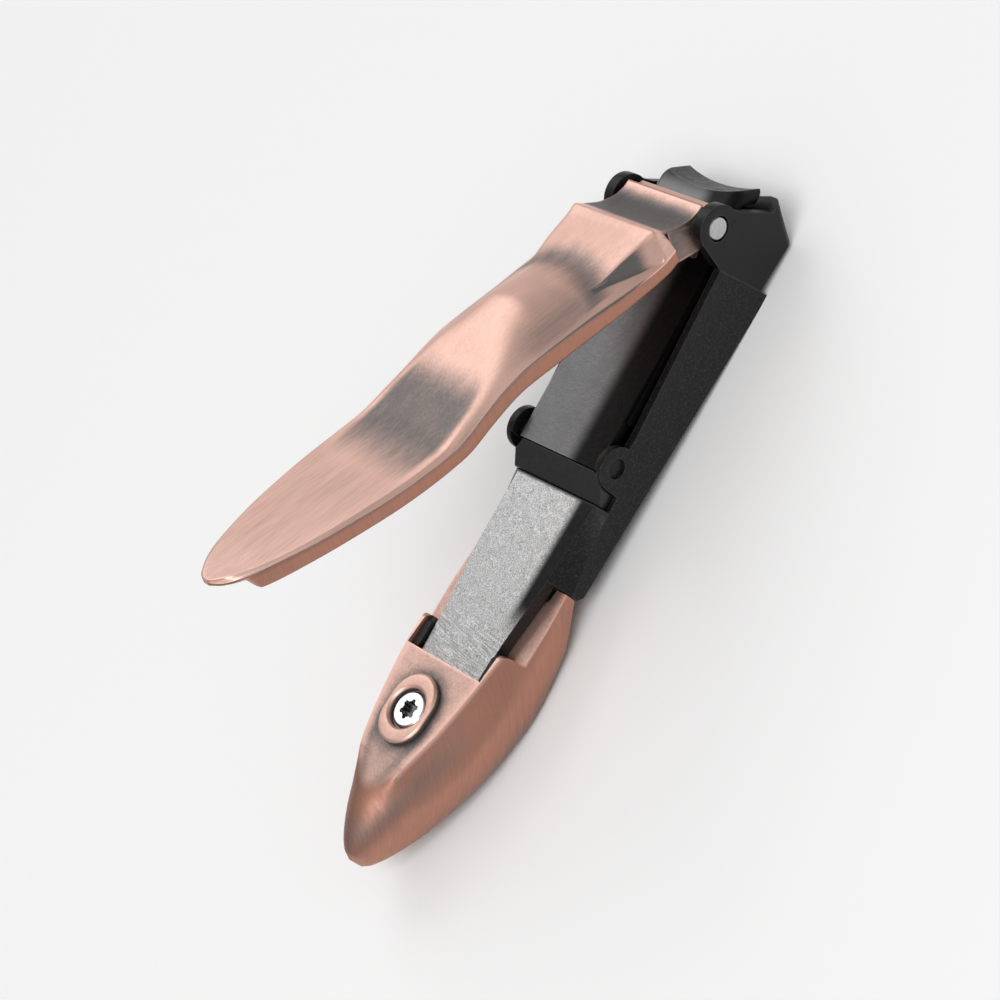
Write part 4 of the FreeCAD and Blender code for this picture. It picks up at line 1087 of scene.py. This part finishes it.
@dataclass(frozen=True)
class TailCapCasting:
    """The boat-shaped cap: low wings, two horns, a flat facet and a rounded prow, hollow inside.

    Stations are distances behind the lever's pin along the body, heights are above it, both in
    millimetres. Every section is one loop: outer skin from keel to rim, rim, inner wall, floor.
    """

    tilt_deg: float = BODY_TILT
    front: float = 41.95
    notch: tuple[float, float] = (43.55, 43.85)
    horn: float = 51.1
    horn_round: float = 1.3
    facet: float = 55.0
    facet_z: float = -6.5
    facet_rise: float = FACET_RISE
    wing_top: float = -9.36
    wing_inner: Curve = ((41.95, 6.45), (43.55, 6.25), (43.85, 4.85), (51.1, 4.8))
    aisle_floor: float = -11.9
    well_half: float = 6.45
    well_floor: float = -13.0
    well_back: float = 67.5
    well_back_half: float = 4.2
    roof: float = 1.05
    bore: float = 2.26
    screw: float = 61.45
    bore_sides: int = 48
    bore_span: tuple[float, float] = (-1.6, 1.4)
    edge_round: float = 0.24
    # Cells of the skin from the keel to its widest point, on to the wings' level and to the rim,
    # then of the rim's two runs and of the four edges inside.
    skin_cells: tuple[int, int, int] = (16, 8, 6)
    rim_cells: tuple[int, ...] = (2, 8, 1, 1, 1, 1)
    # Painted shade on the prow's far side, over distances behind the pin.
    prow_far_shade: Stretch = (0.30, 68.5, 71.0, 72.0, 76.0)
    top_half: Curve = ((41.95, 7.9), (48.0, 7.3), (55.0, 6.6), (61.5, 5.5), (67.0, 3.95),
                       (70.0, 2.75), (73.0, 1.95), (75.5, 1.4), (78.2, 0.55), (78.9, 0.2))
    top: Curve = ((41.95, -7.6), (48.0, -7.2), (55.0, -6.5), (61.5, -6.2), (67.0, -5.96),
                  (70.0, -5.98), (72.0, -6.3), (75.5, -7.5), (78.2, -9.12), (78.9, -10.2))
    wide: Curve = ((41.95, 8.1), (48.0, 8.75), (55.0, 8.8), (61.5, 8.2), (67.0, 6.65),
                   (71.5, 4.8), (75.5, 3.2), (78.2, 1.6), (78.9, 0.5))
    wide_z: Curve = ((41.95, -10.2), (48.0, -11.0), (55.0, -11.4), (71.5, -11.4), (78.9, -11.65))
    bilge: Curve = ((41.95, 6.7), (48.0, 7.6), (55.0, 7.75), (61.5, 6.95), (67.0, 5.7),
                    (71.5, 4.3), (75.5, 2.6), (78.2, 1.0), (78.9, 0.3))
    bilge_z: Curve = ((41.95, -12.3), (48.0, -14.6), (55.0, -15.5), (61.5, -15.3), (67.0, -14.9),
                      (71.5, -14.3), (75.5, -13.5), (78.2, -12.6), (78.9, -12.15))
    keel: Curve = ((41.95, -13.2), (48.0, -15.0), (55.0, -15.9), (61.5, -15.75), (67.0, -15.35),
                   (71.5, -14.7), (75.5, -13.95), (78.2, -12.95), (78.9, -12.4))

    def height(self, u: np.ndarray) -> np.ndarray:
        """Height of the facet's plane, which climbs by facet_rise degrees towards the prow."""
        return self.facet_z + (u - self.facet) * math.tan(math.radians(self.facet_rise))

    def stations(self) -> tuple[np.ndarray, np.ndarray]:
        """Where the sections lie, two close together at each step.

        Returns:
            The distances, and the kind of each section: 0 wings, 1 horns, 2 facet, 3 prow.
        """
        turn = self.horn_round * (1 - np.cos(np.linspace(0, math.pi / 2, 8)))
        runs = (
            np.linspace(self.front, self.notch[0], 6), np.linspace(self.notch[1], self.horn, 24),
            self.horn + turn, np.linspace(self.horn + self.horn_round + 0.3, self.facet, 8),
            np.linspace(self.facet, self.well_back, 42),
            np.linspace(self.well_back + 0.05, 78.0, 46), np.linspace(78.1, 78.9, 7))
        kinds = (0, 0, 1, 1, 2, 3, 3)
        return np.concatenate(runs), np.concatenate(
            [np.full(len(run), kind) for run, kind in zip(runs, kinds)])

    def skin(self, u: np.ndarray, kind: np.ndarray) -> np.ndarray:
        """Outer skin from keel to rim: a smooth line through keel, bilge, widest point and edge.

        Each line is cut off level at the wings' top or the horn's rounded front.

        Args:
            u: Station of each section.
            kind: Kind of each section.

        Returns:
            Array of sections x points x (half width, height).
        """
        flow = [np.stack([flowing(a, u), flowing(b, u)], -1) for a, b in (
            (self.top_half, self.top), (self.wide, self.wide_z), (self.bilge, self.bilge_z))]
        keel = np.stack([np.zeros_like(u), flowing(self.keel, u)], -1)
        mirrored = flow[2] * np.array([-1.0, 1.0])
        knots = np.stack([*flow, keel, mirrored], 0)
        line = hermite(np.arange(5.0), knots, np.linspace(0, 3, 121)).transpose(1, 0, 2)
        back = np.clip((self.horn + self.horn_round - u) / self.horn_round, 0, 1)
        horn = self.height(u) - self.horn_round * (1 - np.sqrt(1 - back**2))
        cut = np.where(kind == 0, self.wing_top, np.where(kind == 1, horn, 0.0))
        split = np.minimum(self.wing_top, 0.5 * (flowing(self.top, u) + flowing(self.wide_z, u)))
        known = np.linspace(0, 1, line.shape[1])
        keel, flank, rim = self.skin_cells
        rows = []
        for points, level, seam in zip(line, cut, split):
            first, middle = np.interp([-level, -seam], -points[:, 1], known)
            at = np.concatenate([np.linspace(1, 1 / 3, keel, endpoint=False),
                                 np.linspace(1 / 3, middle, flank, endpoint=False),
                                 np.linspace(middle, first, rim + 1)])
            rows.append(np.stack([np.interp(at, known, points[:, k]) for k in (0, 1)], -1))
        return np.array(rows)

    def sections(self, u: np.ndarray, kind: np.ndarray) -> np.ndarray:
        """Half loops of every section: skin, rim, roof's edge, roof, inner wall and floor.

        Args:
            u: Station of each section.
            kind: Kind of each section.

        Returns:
            Array of sections x points x (half width, height).
        """
        outer = self.skin(u, kind)
        edge = outer[:, -1]
        open_half = np.where(kind == 0, flowing(self.wing_inner, u), self.well_half)
        shrink = np.clip((u - self.facet) / (self.well_back - self.facet), 0, 1)
        well = self.well_half + (self.well_back_half - self.well_half) * shrink
        floor = np.where(kind == 0, self.aisle_floor, self.well_floor)
        under = self.height(u) - self.roof
        zero, end = np.zeros_like(u), np.full_like(u, -10.0)
        rim_half = np.where(kind < 2, open_half, 0.0)
        wall_half = np.where(kind < 2, open_half, np.where(kind == 2, well, 0.0))
        crest = edge[:, 1]
        lip_half = np.where(kind < 2, open_half, edge[:, 0] * self.well_half / 6.6)
        wall_top = np.where(kind == 3, end, np.where(kind == 2, under, edge[:, 1] - self.roof))
        foot = np.where(kind == 3, end, floor)
        corners = [edge, np.stack([lip_half, crest], -1), np.stack([rim_half, crest], -1),
                   np.stack([rim_half, wall_top], -1),
                   np.stack([wall_half, wall_top], -1), np.stack([wall_half, foot], -1),
                   np.stack([zero, foot], -1)]
        parts = [outer[:, :-1]]
        for first, last, run in zip(corners, corners[1:], self.rim_cells):
            share = np.linspace(0, 1, run, endpoint=False)[None, :, None]
            parts.append(first[:, None] * (1 - share) + last[:, None] * share)
        return np.concatenate(parts + [corners[-1][:, None]], 1)

    def rounded(self, u: np.ndarray, kind: np.ndarray, half: np.ndarray) -> np.ndarray:
        """Turn the flat top and its edge into a quarter ellipse from the widest point up.

        The share of the ellipse grows smoothly from none at the end of the flat facet to all of
        it on the prow.

        Args:
            u: Station of each section.
            kind: Kind of each section.
            half: The half loops, which are changed.

        Returns:
            The half loops.
        """
        widest = self.skin_cells[0]
        rim = sum(self.skin_cells) + sum(self.rim_cells[:2])
        prow = (swell(u, 67.0, 72.5) * (kind == 3))[:, None]
        turn = np.linspace(0, math.pi / 2, rim + 1 - widest)
        wide, low = flowing(self.wide, u)[:, None], flowing(self.wide_z, u)[:, None]
        crown = flowing(self.top, u)[:, None]
        oval = np.stack([wide * np.cos(turn), low + (crown - low) * np.sin(turn)], -1)
        share = prow[..., None]
        half[:, widest:rim + 1] = half[:, widest:rim + 1] * (1 - share) + oval * share
        half[:, rim, 0] = np.where(kind > 1, 0.0, half[:, rim, 0])
        return half

    def build(self) -> bpy.types.Object:
        """Make the cap: mirror the half loops, round the prow off, join and bore for the screw.

        Returns:
            The cap, riding on the base.
        """
        u, kind = self.stations()
        half = self.rounded(u, kind, self.sections(u, kind))
        ring = np.concatenate([half, half[:, -2:0:-1] * np.array([-1.0, 1.0])], 1)
        grid = np.concatenate([np.broadcast_to(u[:, None, None], ring.shape[:2] + (1,)), ring], -1)
        points = posed(self.tilt_deg, grid[..., 0], grid[..., 1], grid[..., 2])
        points[..., 2] = np.maximum(points[..., 2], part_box("tail_cap")[0].z)
        piece = ring_mesh("cap_casting", points)
        self.join(piece)
        self.bore_hole(piece)
        self.colour(piece)
        soften(piece, self.edge_round)
        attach(piece, Body.BASE.value)
        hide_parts("tail_cap")
        LOG.info("cap casting: %d vertices", len(piece.data.vertices))
        return piece

    def join(self, piece: bpy.types.Object) -> None:
        """Merge doubled points, drop the faces in the middle plane and remake the two steps.

        Args:
            piece: The cap, whose mesh is changed.
        """
        same, flat = 4e-6, 2e-6
        back = Vector(leaning(self.tilt_deg)[0])
        levels = [Vector(posed(self.tilt_deg, np.float64(u), 0.0, 0.0)).dot(back)
                  for u in (self.facet, self.front)]
        shape = bmesh.new()
        shape.from_mesh(piece.data)
        bmesh.ops.remove_doubles(shape, verts=shape.verts, dist=same)
        inside = [face for face in shape.faces
                  if max(abs(corner.co.y) for corner in face.verts) < flat]
        bmesh.ops.delete(shape, geom=inside, context="FACES")
        step = [face for face in shape.faces for level in levels
                if max(abs(corner.co.dot(back) - level) for corner in face.verts) < same]
        bmesh.ops.delete(shape, geom=step, context="FACES")
        bmesh.ops.holes_fill(shape, edges=[edge for edge in shape.edges if edge.is_boundary],
                             sides=0)
        bmesh.ops.recalc_face_normals(shape, faces=shape.faces)
        shape.to_mesh(piece.data)
        shape.free()

    def bore_hole(self, piece: bpy.types.Object) -> None:
        """Cut the screw's round hole through the roof with a many-sided tool.

        Args:
            piece: The cap, whose mesh is replaced.
        """
        turn = np.linspace(0, 2 * math.pi, self.bore_sides, endpoint=False)
        level = self.height(np.array([self.screw]))[0]
        slope = math.radians(self.facet_rise)
        lift = np.array(self.bore_span)[:, None]
        across, along = self.bore * np.cos(turn), self.bore * np.sin(turn)
        rings = posed(self.tilt_deg,
                      self.screw + along * math.cos(slope) - lift * math.sin(slope),
                      np.broadcast_to(across, (2, self.bore_sides)),
                      level + along * math.sin(slope) + lift * math.cos(slope))
        tool = ring_mesh("bore_tool", rings)
        cut = piece.modifiers.new("bore", "BOOLEAN")
        cut.operation, cut.solver, cut.object = "DIFFERENCE", "EXACT", tool
        graph = bpy.context.evaluated_depsgraph_get()
        cut_mesh = bpy.data.meshes.new_from_object(piece.evaluated_get(graph))
        piece.modifiers.clear()
        piece.data = cut_mesh
        bpy.data.objects.remove(tool)

    def colour(self, piece: bpy.types.Object) -> None:
        """Paint the dark share: patina as a halo round the ring, on the facet and at the foot of
        the facet's edge, sides darker towards the bottom, and painted shade on the prow's far
        side.

        Distances are taken in the cap's own frame, from the same lines that shape it.

        Args:
            piece: The cap.
        """
        u, side, level = unposed(self.tilt_deg, points_of(piece.data))
        out = np.abs(side)
        edge = flowing(self.top_half, u)
        on_top = swell(level - self.height(u), -0.5, -0.1) * (u > self.horn - 0.01)
        ring = np.hypot(out, np.maximum(np.abs(u - self.screw) - 0.95, 0))
        halo = 0.50 * hump(np.maximum(ring - 3.3, 0), 0.0, 1.1)
        facet = 0.27 + halo - 0.34 * hump(out - edge, -0.1, 0.6)
        facet += 0.25 * hump(out - edge, -1.3, 0.7) * swell(u, 61.0, 64.0)
        wings = 0.30 * (u < self.horn) * (level > self.wing_top - 0.05)
        side_wall = 0.16 + 0.34 * hump(level, -8.2, 1.2) * swell(u, 57.0, 66.0)
        side_wall += 0.34 * swell(-level, 12.2, 15.0)
        # Painted shade: only the prow's side of positive y, away from the key light, is darkened.
        prow = stretch_of(u, self.prow_far_shade) * swell(side, -2.0, 0.5)
        patina_and_shade = on_top * facet + (1 - on_top) * np.maximum(side_wall, prow)
        patina_and_shade = np.where(wings > 0, wings, patina_and_shade)
        # The wall attribute gives the sides the darker copper of painted shade.
        paint(piece, "wall", (1 - on_top) * (wings == 0))
        paint(piece, "patina_and_shade", patina_and_shade)


def soften(piece: bpy.types.Object, radius: float) -> None:
    """Round a hard-edged piece with modifiers: Weld, Bevel and Weighted Normal.

    Args:
        piece: The object, a CAD node or a copy of one.
        radius: Width of the rounding in millimetres.
    """
    piece.modifiers.new("weld", "WELD").merge_threshold = SAME_POINT
    bevel = piece.modifiers.new("edges", "BEVEL")
    bevel.width = radius * MM
    bevel.segments = 3
    bevel.limit_method = "ANGLE"
    bevel.angle_limit = math.radians(28)
    bevel.use_clamp_overlap = True
    bevel.harden_normals = False
    shade = piece.modifiers.new("shade", "WEIGHTED_NORMAL")
    shade.keep_sharp = True


@dataclass(frozen=True)
class ReturnLeaf:
    """The leaf spring under the upper jaw, a copy that rides on the base."""

    seat_z: float = 0.00371
    travel: float = 0.00088
    edge_round: float = 0.04

    def build(self) -> bpy.types.Object:
        """Copy the leaf, round its edges and let it ride on the base.

        Returns:
            The leaf, riding on the base.
        """
        piece = bpy.data.objects.new("return_leaf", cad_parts["leaf_spring"].data.copy())
        bpy.context.scene.collection.objects.link(piece)
        piece.data.materials.clear()
        piece.data.polygons.foreach_set("use_smooth", np.ones(len(piece.data.polygons), bool))
        soften(piece, self.edge_round)
        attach(piece, Body.BASE.value)
        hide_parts("leaf_spring")
        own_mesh(piece)
        LOG.info("return leaf: %d vertices", len(piece.data.vertices))
        return piece


def crisp(piece: bpy.types.Object) -> None:
    """Keep a small piece's edges sharp: Weld, then an edge split past 30 degrees."""
    piece.modifiers.new("weld", "WELD").merge_threshold = SAME_POINT
    split = piece.modifiers.new("split", "EDGE_SPLIT")
    split.split_angle = math.radians(30)
    split.use_edge_sharp = False


@dataclass(frozen=True)
class Fittings:
    """The pieces that keep their CAD shape: each gets its finish, and rounded or crisp edges.

    Each rounding is in millimetres, and 0 stands for crisp.
    """

    rounding: tuple[tuple[str, float], ...] = (
        ("lower_jaw", 0.16), ("upper_jaw", 0.14), ("lever_pin", 0.08), ("hinge_pins", 0.08),
        ("heel_bar", 0.18), ("catcher_housing", 0.16), ("spring_rivet", 0.05),
        ("cap_liner", 0.1), ("screw_ring", 0.1), ("tail_screw", 0.0), ("threaded_insert", 0.05))

    def dress(self, finishes: dict[str, bpy.types.Material]) -> None:
        """Give every piece its material and its rounding.

        Args:
            finishes: Material by piece name.
        """
        for node, radius in self.rounding:
            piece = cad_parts[node]
            piece.data.polygons.foreach_set("use_smooth", np.ones(len(piece.data.polygons), bool))
            piece.data.materials.clear()
            piece.data.materials.append(finishes[node])
            if radius:
                soften(piece, radius)
            else:
                crisp(piece)
            LOG.info("%s: %s", node, finishes[node].name)


# ---------------------------------------------------------------- studio


@dataclass(frozen=True)
class Studio:
    """Pale floor, soft lights and the camera."""

    floor_half: float = 1.5
    floor_tone: float = 0.99
    sky: float = 0.52
    # Each light's name, place and side in metres, and watts.
    lights: tuple[tuple[str, Triple, float, float], ...] = (
        ("key", (-0.25, -0.35, 0.75), 0.5, 3.2), ("far_side", (0.35, 0.55, 0.55), 0.6, 1.6))
    aim: Triple = (0, 0, 0.02)
    camera_at: Triple = (-0.011133, -0.216639, 0.226378)
    camera_turn: Triple = (27.3213, 37.9532, -52.7794)
    lens: float = 100.3
    sensor: float = 36.0

    def floor(self) -> None:
        """A flat pale floor under the clipper, with a faint unevenness."""
        half = self.floor_half
        mesh = bpy.data.meshes.new("floor")
        mesh.from_pydata([(-half, -half, 0), (half, -half, 0), (half, half, 0), (-half, half, 0)],
                         [], [(0, 1, 2, 3)])
        piece = bpy.data.objects.new("floor", mesh)
        bpy.context.scene.collection.objects.link(piece)
        material = bpy.data.materials.new("pale_floor")
        material.use_nodes = True
        make = Nodes(material.node_tree)
        shader = material.node_tree.nodes["Principled BSDF"]
        spot = make.add("ShaderNodeTexCoord").outputs["Object"]
        tone = make.sway(make.noise(spot, 3.0, 2.0), 0.01, self.floor_tone)
        make.feed(shader.inputs["Base Color"], make.grey(tone))
        shader.inputs["Roughness"].default_value = 0.9
        shader.inputs["Specular IOR Level"].default_value = 0.1
        mesh.materials.append(material)

    def light(self, name: str, at: Triple, size: float, watts: float) -> None:
        """One square soft light that faces the clipper.

        Args:
            name: Name of the light.
            at: Its place in metres.
            size: Length of its side in metres.
            watts: Its power.
        """
        data = bpy.data.lights.new(name, "AREA")
        data.size, data.energy = size, watts
        lamp = bpy.data.objects.new(name, data)
        lamp.location = at
        lamp.rotation_euler = (Vector(self.aim) - Vector(at)).to_track_quat("-Z", "Y").to_euler()
        bpy.context.scene.collection.objects.link(lamp)

    def world(self) -> None:
        """Even pale surroundings, a little brighter overhead than at the horizon."""
        world = bpy.data.worlds.new("studio")
        world.use_nodes = True
        bpy.context.scene.world = world
        make = Nodes(world.node_tree)
        direction = make.add("ShaderNodeTexCoord").outputs["Generated"]
        level = make.span(make.axes(direction)[2], -0.2, 0.9, 0.35, 1.0)
        back = world.node_tree.nodes["Background"]
        make.feed(back.inputs["Color"], make.grey(level))
        back.inputs["Strength"].default_value = self.sky

    def camera(self) -> None:
        """The camera, looking down at the clipper from the side of negative y, frame turned."""
        data = bpy.data.cameras.new("camera")
        data.lens, data.sensor_width = self.lens, self.sensor
        data.clip_start, data.clip_end = 0.01, 10.0
        eye = bpy.data.objects.new("camera", data)
        eye.location = self.camera_at
        eye.rotation_euler = [math.radians(angle) for angle in self.camera_turn]
        bpy.context.scene.collection.objects.link(eye)
        bpy.context.scene.camera = eye

    def build(self) -> None:
        """Set up the floor, the surroundings, the lights and the camera."""
        self.floor()
        self.world()
        for light in self.lights:
            self.light(*light)
        self.camera()
        bpy.context.scene.view_settings.view_transform = "Standard"


def finishes(shop: Workshop) -> dict[str, bpy.types.Material]:
    """Every piece's material by the piece's name.

    Args:
        shop: The shared shader groups.

    Returns:
        Materials by piece name.
    """
    black = CoatedMetal("blackened_steel", body=(0.006, 0.006, 0.0065), roughness=0.38, rub=0.16,
                        specular=0.28)
    grey = CoatedMetal("satin_steel", body=(0.20, 0.20, 0.205), edge=(0.45, 0.45, 0.45),
                       metallic=0.8, roughness=0.42, rub=0.3, grain_depth=0.8, mottle=0.4,
                       dark_reflection_band=(-1.0, -3.4, -6.0, -2.0), face=(0.05, 0.05, 0.052),
                       face_from=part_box("upper_jaw")[1].x - 4.1 * MM)
    bright = CoatedMetal("bright_steel", body=(0.86, 0.86, 0.87), edge=(0.95, 0.95, 0.95),
                         metallic=1.0, roughness=0.16, grain_depth=0.03)
    bar = CoatedMetal("dark_bar", body=(0.013, 0.012, 0.013), roughness=0.3, rub=0.15)
    shell = CoatedMetal("speckled_black", body=(0.006, 0.006, 0.0065), share=0.30,
                        sparkle=(0.03, 0.03, 0.03), roughness=0.40, rub=0.12, grain_depth=0.3,
                        specular=0.25, dark_reflection_band=(-3.4, -4.9, -14.0, -9.0),
                        top=(0.50, 0.50, 0.50), top_ahead_of=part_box("heel_bar")[0].x)
    spring = CoatedMetal("spring_steel", body=(0.5, 0.5, 0.5), metallic=1.0, roughness=0.3,
                         grain=Grain.LENGTH)
    liner = CoatedMetal("liner_black", body=(0.008, 0.008, 0.008), roughness=0.6, rub=0.05)
    brass = CoatedMetal("insert_brass", body=(0.7, 0.5, 0.24), metallic=1.0, roughness=0.3)
    ring = AntiqueCopper("ring_copper", grain=Grain.DIAGONAL, painted=False,
                         tarnish=0.10, sunk=Plane.over("screw_ring", FACET_LEAN)).make(shop)
    screw = replace(bright, name="screw_steel", roughness=0.22,
                    socket=Plane.over("tail_screw", FACET_LEAN))
    return {
        "lower_jaw": black.make(shop), "upper_jaw": grey.make(shop),
        "lever_pin": spring.make(shop), "hinge_pins": black.make(shop),
        "heel_bar": bar.make(shop), "catcher_housing": shell.make(shop),
        "leaf_spring": spring.make(shop), "spring_rivet": bright.make(shop),
        "cap_liner": liner.make(shop), "screw_ring": ring, "tail_screw": screw.make(shop),
        "threaded_insert": brass.make(shop),
        "lever": AntiqueCopper("lever_copper", shade=(0.50, 0.235, 0.16)).make(shop),
        "cap": AntiqueCopper("cap_copper", grain=Grain.CAP).make(shop),
    }


def main() -> None:
    """Build every piece in order."""
    logging.basicConfig(level=logging.INFO, format="%(name)s: %(message)s")
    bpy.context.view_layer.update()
    shop = Workshop(brush_group(), wear_group(), speckle_group())
    dress = finishes(shop)
    for piece in (LeverCasting().build(), LeverHead().build()):
        piece.data.materials.append(dress["lever"])
    TailCapCasting().build().data.materials.append(dress["cap"])
    ReturnLeaf().build().data.materials.append(dress["leaf_spring"])
    Fittings().dress(dress)
    Studio().build()
    bpy.context.view_layer.update()


if __name__ == "__main__":
    main()
